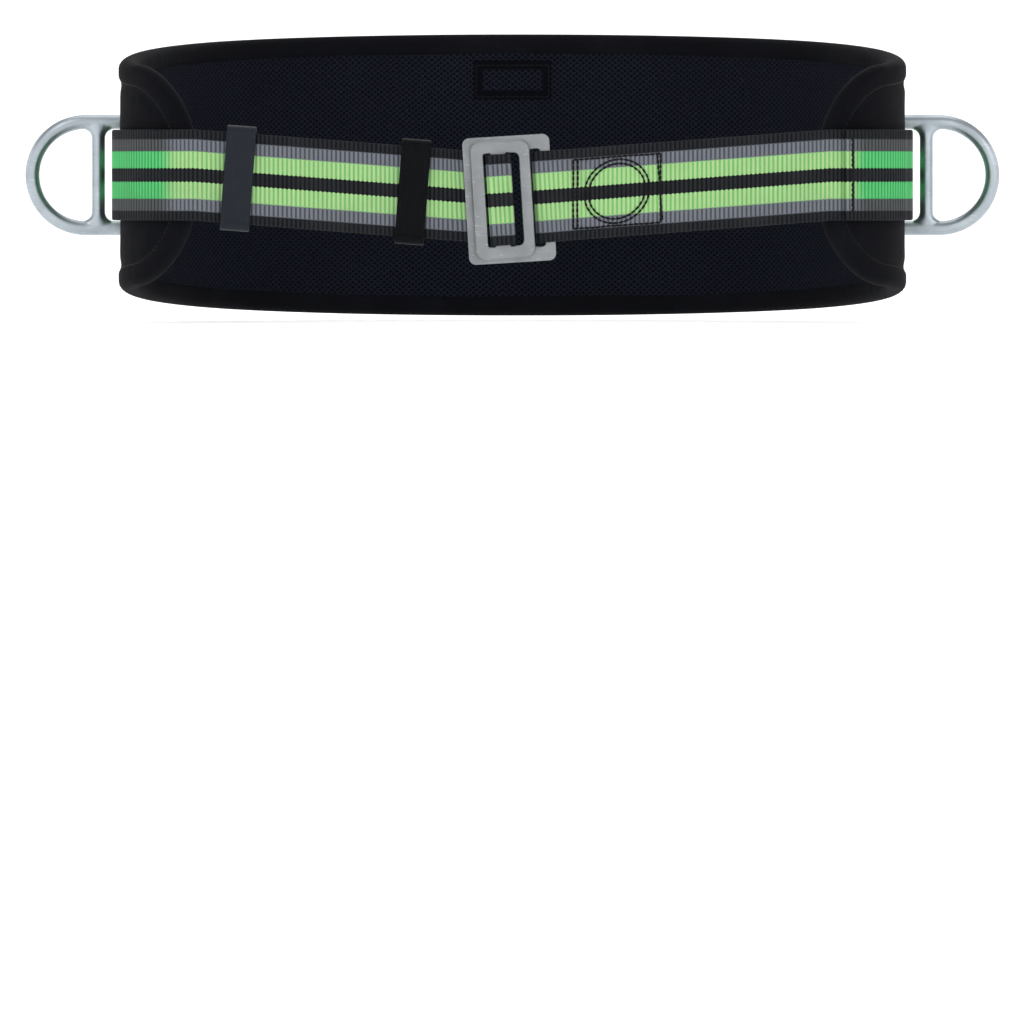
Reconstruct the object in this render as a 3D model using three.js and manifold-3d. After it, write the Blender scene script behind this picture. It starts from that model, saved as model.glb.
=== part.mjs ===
// A work-positioning belt: a padded back support, 45 mm webbing, two side rings and a pass-through buckle.
// Millimetres, +Z up. The buckle is at the front (-Y), and left and right are as seen from the front.
// The origin is the middle of the closed loop, level with the middle of the webbing.
import * as THREE from 'three';
import { mergeVertices } from 'three/addons/utils/BufferGeometryUtils.js';
import Module from 'manifold-3d';

const wasm = await Module();
wasm.setup();

// Clearances.
const GAP = 0.3; // between pieces that touch
const SLOT_PLAY = 0.4; // between the edge of the webbing and the metal it runs through

// The closed loop in plan, measured on the outer face of the pad: arcs from the middle of the back to
// the widest place, then a front corner and a straight front.
const BACK_DEPTH = 119; // from the origin to the outer face at the back
const BACK_RADIUS = 260;
const BACK_TURN = 27; // degrees
const HIP_RADIUS = 112;
const HIP_TURN = 28; // degrees
const SIDE_RADIUS = 200;
const FRONT_RADIUS = 60;
const SECTION_STEP = 10; // spacing of the cross-sections round the loop
const ARC_STEP = Math.PI / 6; // largest turn between the cross-sections of a fold

// Padded back support.
const PAD_HALF_LENGTH = 372;
const PAD_OFF_CENTRE = 3; // how far the pad sits round to the right
const PAD_HALF_HEIGHT = 70;
const PAD_NARROWING = 13.5; // how much lower the half height is at the widest place of the loop
const PAD_NARROWING_POWER = 2.1;
const PAD_TIP_RADIUS = 45;
const TIP_SECTIONS = 6;
const SHELL_THICKNESS = 1.2;
const STIFFENER_THICKNESS = 1;
const STIFFENER_INSET = 16;
const FOAM_THICKNESS = 4.3;
const LINING_THICKNESS = 2;
const BINDING_THICKNESS = 1;
const BINDING_WIDTH = 10;

// Webbing.
const WEBBING_WIDTH = 45;
const WEBBING_THICKNESS = 2.2;
const STRAP_OVERLAP = 38; // how far the front right strap runs under the end of the main strap
const STRAP_END = 366; // where the main strap ends on the right, measured round the loop
const STEP_LENGTH = 10; // over which a strap climbs on to another layer
const TAIL_LENGTH = 54;
const TIP_MARGIN = 1; // from the end of the pad's binding to where a strap starts to leave the pad

// Side rings.
const RING_POSITION = 239; // of the hinge bar, measured round the loop
const RING_ROD = 7.2; // diameter of the bow, arms and crossbar
const RING_HINGE_ROD = 6.5; // diameter of the bar behind the strap
const RING_SLOT = 17.5; // from the hinge bar to the crossbar, centre to centre
const RING_STRAIGHT = 6.5; // from the crossbar to the start of the bow
const RING_CORNER = 4;
const RING_SIDES = 10;
const RING_STEPS = 45;
const RING_ELBOW_STEPS = 10;
const RING_BAR_OVERLAP = 1; // how far each half of the hinge bar runs past the middle
const RING_LIFT_WIDTH = 22; // how quickly the strap comes back to the pad beside a ring
const RING_SECTIONS = [-10, -5, -2, 2, 5, 10]; // of the strap, from the hinge bar

// Buckle.
const BUCKLE_X = -1.6;
const BUCKLE_SAG = 12;
const BUCKLE_TILT = 3.5; // degrees, rising to the right
const PLATE_THICKNESS = 4;
const FEMALE_WIDTH = 43;
const FEMALE_LEFT_BAR = 6;
const FEMALE_RIGHT_BAR = 5;
const FEMALE_PLAY = 1.5; // beside the webbing in the opening
const FEMALE_RAIL = 7.25; // above and below the opening
const FEMALE_CORNER = 3.5;
const MALE_WIDTH = 29.5;
const MALE_RAIL = 6.35; // above and below the slots
const MALE_SHIFT = -3.25; // of the male plate's centre from the female plate's
const MALE_LEFT_BAR = 6.5;
const MALE_RIGHT_BAR = 5.5;
const MALE_MIDDLE_BAR = 7.5;
const MALE_MIDDLE_SHIFT = -1; // of the middle bar from the male plate's centre
const MALE_CORNER = 5;
const SLOT_CORNER = 1.5;
const LEAN_REACH = 12; // over which the webbing takes up the tilt of the buckle

// Keepers.
const KEEPER_LENGTH = 14.5;
const KEEPER_END = 2.9; // thickness above and below the strap
const KEEPER_FACE = 2;
const KEEPER_PLAY = 0.6;
const KEEPER_CORNER = 2.5;
const KEEPER_FRONT_OVERLAP = 3; // how far the outer one may run on to the front corner
const KEEPER_OUTER_GAP = 4.2; // from where the left run is straight to the outer one's middle
const KEEPER_INNER_GAP = 26; // from the female plate to the inner one's middle

// Sewing.
const THREAD = 0.8;
const THREAD_PROUD = 0.5;
const BOX_STITCH_FROM = 30;
const BOX_STITCH_LENGTH = 43;
const BOX_STITCH_EDGE = 5.5; // from the edge of the webbing
const BOX_STITCH_MARGIN = 4; // of webbing past the sewing
const STITCH_CORNER = 1;
const RETURN_STEP = 3; // spacing of the cross-sections where the right strap folds back
const CIRCLE_SEGMENTS = 32;
const TACK_EDGE = 4; // from the edge of the webbing
const RIGHT_TACK_INSET = 3.5;

// Loops on the back of the pad.
const BELT_LOOP_LENGTH = 40;
const BELT_LOOP_SPACING = 100;
const BELT_LOOP_FOOT = 12;
const BELT_LOOP_TACK = 34; // length of the row of stitches
const LOOP_SECTIONS = 4;
const LOOP_TAPE = 1.6; // thickness of the narrow tape
const HANG_LOOP_WIDTH = 38;
const HANG_LOOP_DROP = 0.5; // from the top of the pad
const HANG_LOOP_SEAM = 16; // height of the sewn part
const HANG_LOOP_HEIGHT = 30;
const HANG_LOOP_BULGE = 9;
const HANG_LOOP_BEND = 2; // height over which it leaves the pad, below the end of the seam

// Sizes that follow from the ones above.
const PAD_THICKNESS = SHELL_THICKNESS + STIFFENER_THICKNESS + FOAM_THICKNESS + LINING_THICKNESS + 3 * GAP;
const STRAP_RISE = GAP + BINDING_THICKNESS + GAP; // inner face of the strap above the pad
const LAYER = WEBBING_THICKNESS + GAP; // from one layer of webbing to the next
const STRAP_CENTRE = STRAP_RISE + WEBBING_THICKNESS / 2;
const PLATE_STANDOFF = PLATE_THICKNESS / 2 + GAP + WEBBING_THICKNESS / 2; // from a plate to webbing on it
const HALF_WEBBING = WEBBING_WIDTH / 2;
const FOLD_RADIUS = GAP + WEBBING_THICKNESS / 2; // of the webbing's centreline round the middle bar
const RING_HALF_HEIGHT = HALF_WEBBING + SLOT_PLAY + RING_ROD / 2;
const FEMALE_OPENING = WEBBING_WIDTH + 2 * FEMALE_PLAY;
const FEMALE_HEIGHT = FEMALE_OPENING + 2 * FEMALE_RAIL;
const MALE_SLOT = WEBBING_WIDTH + 2 * SLOT_PLAY;
const MALE_HEIGHT = MALE_SLOT + 2 * MALE_RAIL;
const KEEPER_HEIGHT = WEBBING_WIDTH + 2 * KEEPER_PLAY + 2 * KEEPER_END;
const BOX_STITCH_HEIGHT = WEBBING_WIDTH - 2 * BOX_STITCH_EDGE;
const BELT_LOOP_REACH = HALF_WEBBING + SLOT_PLAY + LOOP_TAPE + BELT_LOOP_FOOT; // half its height
const HANG_LOOP_TOP = PAD_HALF_HEIGHT - HANG_LOOP_DROP;
const HANG_LOOP_BOTTOM = HANG_LOOP_TOP - HANG_LOOP_HEIGHT;
const RING_LIFT = 2 * GAP + RING_HINGE_ROD + GAP - STRAP_RISE;
const HINGE_OFFSET = GAP + RING_HINGE_ROD / 2;
const TILT = THREE.MathUtils.degToRad(BUCKLE_TILT);

const MATERIALS = {
  shell: { color: 0x17181b, roughness: 0.85, metalness: 0 },
  plastic: { color: 0xd8d9d6, roughness: 0.5, metalness: 0 },
  foam: { color: 0x55585c, roughness: 0.95, metalness: 0 },
  lining: { color: 0x1c2030, roughness: 0.95, metalness: 0 },
  binding: { color: 0x101114, roughness: 0.75, metalness: 0 },
  webbing: { color: 0x7fb83a, roughness: 0.7, metalness: 0 },
  tape: { color: 0x141519, roughness: 0.8, metalness: 0 },
  thread: { color: 0x0c0c0e, roughness: 0.7, metalness: 0 },
  steel: { color: 0xb9bcc0, roughness: 0.32, metalness: 1 },
  keeper: { color: 0x121316, roughness: 0.35, metalness: 0 },
};

// A flat curve of straights and arcs, walked by distance. Headings and turns are clockwise radians
// from +X, and a frame's normal points to the left of the way it is walked.
class ArcPath {
  constructor(x, y, runs) {
    this.runs = [];
    let frame = { x, y, heading: 0 };
    for (const { length, radius, turn = 0 } of runs) {
      const run = { frame, length: length ?? Math.abs(radius * turn), turn };
      this.runs.push(run);
      frame = ArcPath.along(run, run.length);
    }
    this.length = this.runs.reduce((sum, run) => sum + run.length, 0);
  }

  static along({ frame, length, turn }, distance) {
    if (turn === 0) {
      return {
        x: frame.x + distance * Math.cos(frame.heading),
        y: frame.y - distance * Math.sin(frame.heading),
        heading: frame.heading,
      };
    }
    const radius = length / turn;
    const heading = frame.heading + distance / radius;
    return {
      x: frame.x + radius * (Math.sin(heading) - Math.sin(frame.heading)),
      y: frame.y + radius * (Math.cos(heading) - Math.cos(frame.heading)),
      heading,
    };
  }

  at(distance) {
    let left = distance;
    for (const run of this.runs) {
      if (left <= run.length) {
        return ArcPath.along(run, left);
      }
      left -= run.length;
    }
    const last = this.runs[this.runs.length - 1];
    return ArcPath.along(last, last.length + left);
  }

  // Frames at the ends of the straights and every 30 degrees or less of the arcs.
  frames() {
    const found = [this.runs[0].frame];
    for (const run of this.runs) {
      const pieces = Math.max(1, Math.ceil(Math.abs(run.turn) / ARC_STEP));
      for (let i = 1; i <= pieces; i += 1) {
        found.push(ArcPath.along(run, (run.length * i) / pieces));
      }
    }
    return found;
  }
}

// A point beside a frame, off to the left of the way it is walked.
function beside(frame, offset) {
  return {
    x: frame.x + offset * Math.sin(frame.heading),
    y: frame.y + offset * Math.cos(frame.heading),
  };
}

const BACK_ANGLE = THREE.MathUtils.degToRad(BACK_TURN);
const HIP_ANGLE = THREE.MathUtils.degToRad(HIP_TURN);
const SIDE_ANGLE = Math.PI / 2 - BACK_ANGLE - HIP_ANGLE;
const HALF_LOOP = new ArcPath(0, BACK_DEPTH, [
  { radius: BACK_RADIUS, turn: BACK_ANGLE },
  { radius: HIP_RADIUS, turn: HIP_ANGLE },
  { radius: SIDE_RADIUS, turn: SIDE_ANGLE },
  { radius: FRONT_RADIUS, turn: Math.PI / 2 },
  { length: 1 },
]);
const WIDEST = HALF_LOOP.runs[3].frame; // where the loop is widest
const WIDEST_AT = BACK_RADIUS * BACK_ANGLE + HIP_RADIUS * HIP_ANGLE + SIDE_RADIUS * SIDE_ANGLE;
const FRONT_AT = WIDEST_AT + (FRONT_RADIUS * Math.PI) / 2;
const FRONT_X = WIDEST.x - FRONT_RADIUS; // where the straight front starts
const FRONT_Y = WIDEST.y - FRONT_RADIUS;

// The frame at a distance round the loop from the middle of the back, positive to the right.
function loopFrame(distance) {
  const frame = HALF_LOOP.at(Math.abs(distance));
  return distance < 0 ? { x: -frame.x, y: frame.y, heading: -frame.heading } : frame;
}

const TIP_COVER = PAD_HALF_LENGTH + GAP + BINDING_THICKNESS + TIP_MARGIN;
const LEFT_TIP = TIP_COVER - PAD_OFF_CENTRE;
const RIGHT_TIP = TIP_COVER + PAD_OFF_CENTRE;
const DIP_LENGTH = 1.8 * STEP_LENGTH; // over which the straps move apart for the buckle, past the tips
const SAG_REACH = loopFrame(LEFT_TIP).x; // how far to each side the front run starts to sag

// The distance round the loop to a place on the straight front, on its own side.
function frontDistance(x) {
  return Math.sign(x) * (FRONT_AT + FRONT_X - Math.abs(x));
}

// The distances where cross-sections lie between two ends, with any others asked for.
function stations(from, to, others = []) {
  const found = [from, to, ...others.filter((s) => s > from && s < to)];
  for (let s = Math.ceil(from / SECTION_STEP) * SECTION_STEP; s < to; s += SECTION_STEP) {
    found.push(s);
  }
  found.sort((a, b) => a - b);
  return found.filter((s, i) => i === 0 || s - found[i - 1] > 1e-6);
}

// A long solid from its cross-sections, each a rectangle between two plan points and two heights.
function ribbon(sections) {
  const last = sections.length - 1;
  const geometry = new THREE.BoxGeometry(last, 1, 1, last, 1, 1);
  const position = geometry.attributes.position;
  for (let i = 0; i < position.count; i += 1) {
    const section = sections[Math.round(position.getX(i) + last / 2)];
    const point = position.getY(i) > 0 ? section.outer : section.inner;
    position.setXYZ(i, point.x, point.y, position.getZ(i) > 0 ? section.upper : section.lower);
  }
  geometry.computeVertexNormals();
  return geometry;
}

// Webbing whose centreline runs through the frames, standing on edge.
function webbing(frames, halfHeight = HALF_WEBBING, thickness = WEBBING_THICKNESS) {
  return ribbon(frames.map((frame) => ({
    inner: beside(frame, -thickness / 2),
    outer: beside(frame, thickness / 2),
    lower: -halfHeight,
    upper: halfHeight,
  })));
}

// How far the front run hangs below the level of the rest of the belt.
function sagAt(x) {
  const side = Math.sign(x - BUCKLE_X) || 1;
  const span = SAG_REACH - side * BUCKLE_X;
  return BUCKLE_SAG * Math.max(0, 1 - Math.abs(x - BUCKLE_X) / span);
}

// Lets the front run of the webbing sag, and lean with the buckle where it is near it.
function hang(geometry) {
  const position = geometry.attributes.position;
  const reach = FEMALE_WIDTH / 2;
  for (let i = 0; i < position.count; i += 1) {
    if (position.getY(i) < 0 && Math.abs(position.getX(i)) < SAG_REACH) {
      const x = position.getX(i);
      const z = position.getZ(i);
      const away = Math.abs(x - BUCKLE_X) - reach;
      const lean = 1 - THREE.MathUtils.smoothstep(away, 0, LEAN_REACH);
      position.setX(i, x - lean * Math.sin(TILT) * z);
      position.setZ(i, z - sagAt(x));
    }
  }
  geometry.computeVertexNormals();
  return geometry;
}

// Bends a geometry modelled flat round the loop: its x becomes the distance round, its y the offset.
function bend(geometry, distance = 0) {
  const position = geometry.attributes.position;
  for (let i = 0; i < position.count; i += 1) {
    const point = beside(loopFrame(distance + position.getX(i)), position.getY(i));
    position.setX(i, point.x);
    position.setY(i, point.y);
  }
  geometry.computeVertexNormals();
  return geometry;
}

function manifoldOf(geometry) {
  const bare = geometry.clone();
  bare.deleteAttribute('normal');
  bare.deleteAttribute('uv');
  const merged = mergeVertices(bare, 1e-4);
  return new wasm.Manifold(new wasm.Mesh({
    numProp: 3,
    vertProperties: new Float32Array(merged.attributes.position.array),
    triVerts: new Uint32Array(merged.index.array),
  }));
}

function geometryOf(manifold) {
  const mesh = manifold.getMesh();
  const geometry = new THREE.BufferGeometry();
  geometry.setAttribute('position', new THREE.BufferAttribute(mesh.vertProperties, 3));
  geometry.setIndex(new THREE.BufferAttribute(mesh.triVerts, 1));
  geometry.computeVertexNormals();
  return geometry;
}

// A rectangle with round corners, centred on a point.
function roundedRectangle(width, height, radius, x = 0, y = 0, Type = THREE.Shape) {
  const shape = new Type();
  const a = width / 2 - radius;
  const b = height / 2 - radius;
  shape.absarc(x + a, y - b, radius, -Math.PI / 2, 0);
  shape.absarc(x + a, y + b, radius, 0, Math.PI / 2);
  shape.absarc(x - a, y + b, radius, Math.PI / 2, Math.PI);
  shape.absarc(x - a, y - b, radius, Math.PI, 1.5 * Math.PI);
  shape.closePath();
  return shape;
}

// A plate standing in the XZ plane, its middle on y = 0.
function plate(shape, thickness, curveSegments = 4) {
  const options = { depth: thickness, bevelEnabled: false, curveSegments };
  const geometry = new THREE.ExtrudeGeometry(shape, options);
  return geometry.rotateX(Math.PI / 2).translate(0, thickness / 2, 0);
}

// A section drawn as (y, z), extruded along X and centred on x = 0.
function alongX(shape, length, steps = 1) {
  const options = { depth: length, steps, bevelEnabled: false, curveSegments: 3 };
  const geometry = new THREE.ExtrudeGeometry(shape, options);
  const turn = new THREE.Matrix4().makeBasis(
    new THREE.Vector3(0, 1, 0),
    new THREE.Vector3(0, 0, 1),
    new THREE.Vector3(1, 0, 0),
  );
  return geometry.applyMatrix4(turn).translate(-length / 2, 0, 0);
}

// Half the pad's height at a distance from the pad's own middle, up to where its tip starts to round.
function padHalfHeight(distance) {
  return PAD_HALF_HEIGHT - PAD_NARROWING * (distance / WIDEST_AT) ** PAD_NARROWING_POWER;
}

// How far past the start of the tip its cross-sections lie: the same in every layer, and then its end.
function tipReaches(radius) {
  const found = [];
  for (let i = 1; i <= TIP_SECTIONS; i += 1) {
    found.push(PAD_TIP_RADIUS * Math.sin(((i / TIP_SECTIONS) * Math.PI) / 2));
  }
  return [...found.filter((reach) => reach < radius - GAP / 2), radius];
}

// A layer of the pad between two offsets, its outline grown all round.
function padLayer(grow, inner, outer) {
  const tipStart = PAD_HALF_LENGTH - PAD_TIP_RADIUS;
  const radius = PAD_TIP_RADIUS + grow;
  const sections = stations(PAD_OFF_CENTRE - tipStart, PAD_OFF_CENTRE + tipStart).map((s) => ({
    s,
    half: padHalfHeight(Math.abs(s - PAD_OFF_CENTRE)) + grow,
  }));
  for (const reach of tipReaches(radius)) {
    const half = padHalfHeight(tipStart) - PAD_TIP_RADIUS + Math.sqrt(radius ** 2 - reach ** 2);
    sections.unshift({ s: PAD_OFF_CENTRE - tipStart - reach, half });
    sections.push({ s: PAD_OFF_CENTRE + tipStart + reach, half });
  }
  return ribbon(sections.map(({ s, half }) => ({
    inner: beside(loopFrame(s), inner),
    outer: beside(loopFrame(s), outer),
    lower: -half,
    upper: half,
  })));
}

// The pad's layers from the outside in: { name, thickness, material, inset }.
const PAD_LAYERS = [
  { name: 'pad_outer_shell', thickness: SHELL_THICKNESS, material: 'shell', inset: 0 },
  { name: 'pad_stiffener', thickness: STIFFENER_THICKNESS, material: 'plastic', inset: STIFFENER_INSET },
  { name: 'pad_foam', thickness: FOAM_THICKNESS, material: 'foam', inset: 0 },
  { name: 'pad_lining', thickness: LINING_THICKNESS, material: 'lining', inset: 0 },
];

// A U of tape that covers the edges of all the layers.
function edgeBinding() {
  const cover = GAP + BINDING_THICKNESS;
  const tape = manifoldOf(padLayer(cover, -PAD_THICKNESS - cover, cover));
  const filling = manifoldOf(padLayer(GAP, -PAD_THICKNESS - GAP, GAP));
  const window = manifoldOf(padLayer(cover - BINDING_WIDTH, -PAD_THICKNESS - 2 * cover, 2 * cover));
  return geometryOf(tape.subtract(filling).subtract(window));
}

const CLIMB_END = STRAP_END - STRAP_OVERLAP - GAP; // where the main strap has risen on to the right one

// The inner face of the main strap above the pad: over the hinge bars of the rings, up on to the front
// right strap at its right end, and in behind the buckle on the left.
function mainStrapRise(s) {
  const lift = RING_LIFT * Math.exp(-(((Math.abs(s) - RING_POSITION) / RING_LIFT_WIDTH) ** 2));
  const climb = LAYER * THREE.MathUtils.smoothstep(s, CLIMB_END - STEP_LENGTH, CLIMB_END);
  const dip = PLATE_STANDOFF * THREE.MathUtils.smoothstep(-s, LEFT_TIP, LEFT_TIP + DIP_LENGTH);
  return STRAP_RISE + lift + climb - dip;
}

function framesAt(distances, offsetAt) {
  return distances.map((s) => {
    const frame = loopFrame(s);
    return { ...beside(frame, offsetAt(s)), heading: frame.heading };
  });
}

const MALE_X = BUCKLE_X + MALE_SHIFT;
const MIDDLE_BAR_LEFT = MALE_MIDDLE_SHIFT - MALE_MIDDLE_BAR / 2;
const WRAP_LEFT = MIDDLE_BAR_LEFT - GAP - WEBBING_THICKNESS / 2;
const WRAP_START = WRAP_LEFT - FOLD_RADIUS - 2 * GAP; // in the male plate's own frame
const STRAP_FRONT_END = MALE_X + WRAP_START - GAP; // where the main strap and the tail stop

function mainStrap() {
  const overRings = [-1, 1].flatMap((side) => RING_SECTIONS.map((k) => side * RING_POSITION + k));
  const near = [...overRings, CLIMB_END - STEP_LENGTH, CLIMB_END, -LEFT_TIP];
  const distances = stations(frontDistance(STRAP_FRONT_END), STRAP_END, near);
  return hang(webbing(framesAt(distances, (s) => mainStrapRise(s) + WEBBING_THICKNESS / 2)));
}

function strapTail() {
  const start = frontDistance(STRAP_FRONT_END);
  const offset = STRAP_CENTRE - PLATE_STANDOFF - LAYER;
  return hang(webbing(framesAt(stations(start, start + TAIL_LENGTH), () => offset)));
}

// The webbing that goes forward through the female plate, round the middle bar and back again.
function adjusterWrap() {
  const middleFront = -PLATE_STANDOFF;
  const strapBehind = PLATE_THICKNESS + GAP + PLATE_STANDOFF;
  const tailBehind = strapBehind + LAYER;
  const quarter = Math.PI / 2;
  const across = MALE_MIDDLE_BAR + 2 * GAP + WEBBING_THICKNESS;
  const path = new ArcPath(WRAP_START, strapBehind, [
    { length: WRAP_LEFT - FOLD_RADIUS - WRAP_START },
    { radius: FOLD_RADIUS, turn: quarter },
    { length: strapBehind - middleFront - 2 * FOLD_RADIUS },
    { radius: FOLD_RADIUS, turn: -quarter },
    { length: across - 2 * FOLD_RADIUS },
    { radius: FOLD_RADIUS, turn: -quarter },
    { length: tailBehind - middleFront - 2 * FOLD_RADIUS },
    { radius: FOLD_RADIUS, turn: -quarter },
    { length: WRAP_LEFT + across - FOLD_RADIUS - WRAP_START },
  ]);
  return webbing(path.frames());
}

const BAR_LEFT = BUCKLE_X + FEMALE_WIDTH / 2 - FEMALE_RIGHT_BAR; // inner edge of the female right bar
const RETURN_END = BOX_STITCH_FROM + BOX_STITCH_LENGTH + BOX_STITCH_MARGIN;
const RETURN_START = BAR_LEFT + FEMALE_RIGHT_BAR;
const RETURN_LEVEL = BOX_STITCH_FROM + RETURN_STEP; // where it lies on the strap in front of it

// The front right strap: from under the main strap to the female plate, round its bar and back.
function frontRightStrap() {
  const frontCentre = STRAP_CENTRE + PLATE_STANDOFF;
  const climb = (s) => THREE.MathUtils.smoothstep(s, RIGHT_TIP, RIGHT_TIP + DIP_LENGTH);
  const distances = stations(STRAP_END - STRAP_OVERLAP, frontDistance(BAR_LEFT), [RIGHT_TIP]);
  const out = framesAt(distances, (s) => STRAP_CENTRE + PLATE_STANDOFF * climb(s));
  const fold = new ArcPath(0, 0, [{ radius: PLATE_STANDOFF, turn: Math.PI }]).frames().slice(1)
    .map((frame) => ({
      x: BAR_LEFT - frame.x,
      y: FRONT_Y - frontCentre - frame.y,
      heading: frame.heading + Math.PI,
    }));
  const back = [];
  for (let x = RETURN_START; x < RETURN_LEVEL + RETURN_STEP; x += RETURN_STEP) {
    const join = THREE.MathUtils.smoothstep(x, RETURN_START, RETURN_LEVEL);
    const centre = THREE.MathUtils.lerp(frontCentre - 2 * PLATE_STANDOFF, frontCentre - LAYER, join);
    back.push({ x, y: FRONT_Y - centre, heading: 2 * Math.PI });
  }
  back.push({ x: RETURN_END, y: FRONT_Y - frontCentre + LAYER, heading: 2 * Math.PI });
  return hang(webbing([...out, ...fold, ...back]));
}

function femalePlate() {
  const shape = roundedRectangle(FEMALE_WIDTH, FEMALE_HEIGHT, FEMALE_CORNER);
  const width = FEMALE_WIDTH - FEMALE_LEFT_BAR - FEMALE_RIGHT_BAR;
  const x = (FEMALE_LEFT_BAR - FEMALE_RIGHT_BAR) / 2;
  shape.holes.push(roundedRectangle(width, FEMALE_OPENING, SLOT_CORNER, x, 0, THREE.Path));
  return plate(shape, PLATE_THICKNESS);
}

function malePlate() {
  const shape = roundedRectangle(MALE_WIDTH, MALE_HEIGHT, MALE_CORNER);
  const edges = [
    [-MALE_WIDTH / 2 + MALE_LEFT_BAR, MIDDLE_BAR_LEFT],
    [MIDDLE_BAR_LEFT + MALE_MIDDLE_BAR, MALE_WIDTH / 2 - MALE_RIGHT_BAR],
  ];
  for (const [from, to] of edges) {
    const middle = (from + to) / 2;
    shape.holes.push(roundedRectangle(to - from, MALE_SLOT, SLOT_CORNER / 2, middle, 0, THREE.Path));
  }
  return plate(shape, PLATE_THICKNESS);
}

// A curve for a bent rod lying in the XZ plane.
class RodCurve extends THREE.Curve {
  constructor(path) {
    super();
    this.path = path;
  }

  getPoint(t) {
    const frame = this.path.at(t * this.path.length);
    return new THREE.Vector3(frame.x, 0, frame.y);
  }
}

// A bent rod of many sides, one of them facing the inside of its bends.
function rod(path, diameter, steps) {
  const corners = [];
  for (let i = 0; i < RING_SIDES; i += 1) {
    const angle = ((i + 0.5) / RING_SIDES) * 2 * Math.PI;
    corners.push(new THREE.Vector2((diameter / 2) * Math.cos(angle), (diameter / 2) * Math.sin(angle)));
  }
  const options = { steps, bevelEnabled: false, extrudePath: new RodCurve(path) };
  return manifoldOf(new THREE.ExtrudeGeometry(new THREE.Shape(corners), options));
}

// A ring in its own frame: the hinge bar on the Z axis and the bow out along +X.
function sideRing() {
  const bow = RING_HALF_HEIGHT;
  const quarter = Math.PI / 2;
  const arm = RING_SLOT + RING_STRAIGHT - RING_CORNER;
  const hoop = rod(new ArcPath(RING_CORNER, RING_HALF_HEIGHT, [
    { length: arm },
    { radius: bow, turn: 2 * quarter },
    { length: arm },
  ]), RING_ROD, RING_STEPS);
  const bend90 = (sign) => {
    const path = new ArcPath(0, 0, [
      { radius: RING_CORNER, turn: quarter },
      { length: RING_HALF_HEIGHT - RING_CORNER + RING_BAR_OVERLAP },
    ]);
    const elbow = rod(path, RING_HINGE_ROD, RING_ELBOW_STEPS);
    // The elbow starts on the arm and runs down the hinge bar past the middle.
    return elbow.scale([-1, 1, 1]).translate([RING_CORNER, 0, RING_HALF_HEIGHT]).scale([1, 1, sign]);
  };
  const crossbar = new THREE.CylinderGeometry(RING_ROD / 2, RING_ROD / 2, 2 * RING_HALF_HEIGHT, RING_SIDES);
  const bar = manifoldOf(crossbar.rotateX(quarter).translate(RING_SLOT, 0, 0));
  return geometryOf(hoop.add(bend90(1)).add(bend90(-1)).add(bar));
}

// A sleeve round the strap and its tail.
function keeper() {
  const depth = WEBBING_THICKNESS + LAYER + 2 * KEEPER_PLAY;
  const shape = roundedRectangle(depth + 2 * KEEPER_FACE, KEEPER_HEIGHT, KEEPER_CORNER);
  shape.holes.push(roundedRectangle(depth, WEBBING_WIDTH + 2 * KEEPER_PLAY, KEEPER_PLAY, 0, 0, THREE.Path));
  return alongX(shape, KEEPER_LENGTH);
}

// A tape loop over the strap, its section a hat with two sewn feet.
function beltLoop(distance) {
  const top = STRAP_RISE + WEBBING_THICKNESS + GAP;
  const side = HALF_WEBBING + SLOT_PLAY;
  const half = [
    [GAP, BELT_LOOP_REACH],
    [GAP, side],
    [top, side],
  ];
  const outside = [
    [top + LOOP_TAPE, side + LOOP_TAPE],
    [GAP + LOOP_TAPE, side + LOOP_TAPE],
    [GAP + LOOP_TAPE, BELT_LOOP_REACH],
  ];
  const mirrored = (points) => points.map(([y, z]) => [y, -z]).reverse();
  const outline = [...half, ...mirrored(half), ...mirrored(outside), ...outside];
  const shape = new THREE.Shape(outline.map(([y, z]) => new THREE.Vector2(y, z)));
  return bend(alongX(shape, BELT_LOOP_LENGTH, LOOP_SECTIONS), distance);
}

// A row of close stitches across a foot of a belt loop.
function beltLoopTack(distance, side) {
  const z = side * (BELT_LOOP_REACH - BELT_LOOP_FOOT / 2);
  const y = GAP + LOOP_TAPE + GAP + THREAD_PROUD / 2;
  const bar = new THREE.BoxGeometry(BELT_LOOP_TACK, THREAD_PROUD, 2 * THREAD, LOOP_SECTIONS, 1, 1);
  return bend(bar.translate(0, y, z), distance);
}

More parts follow.
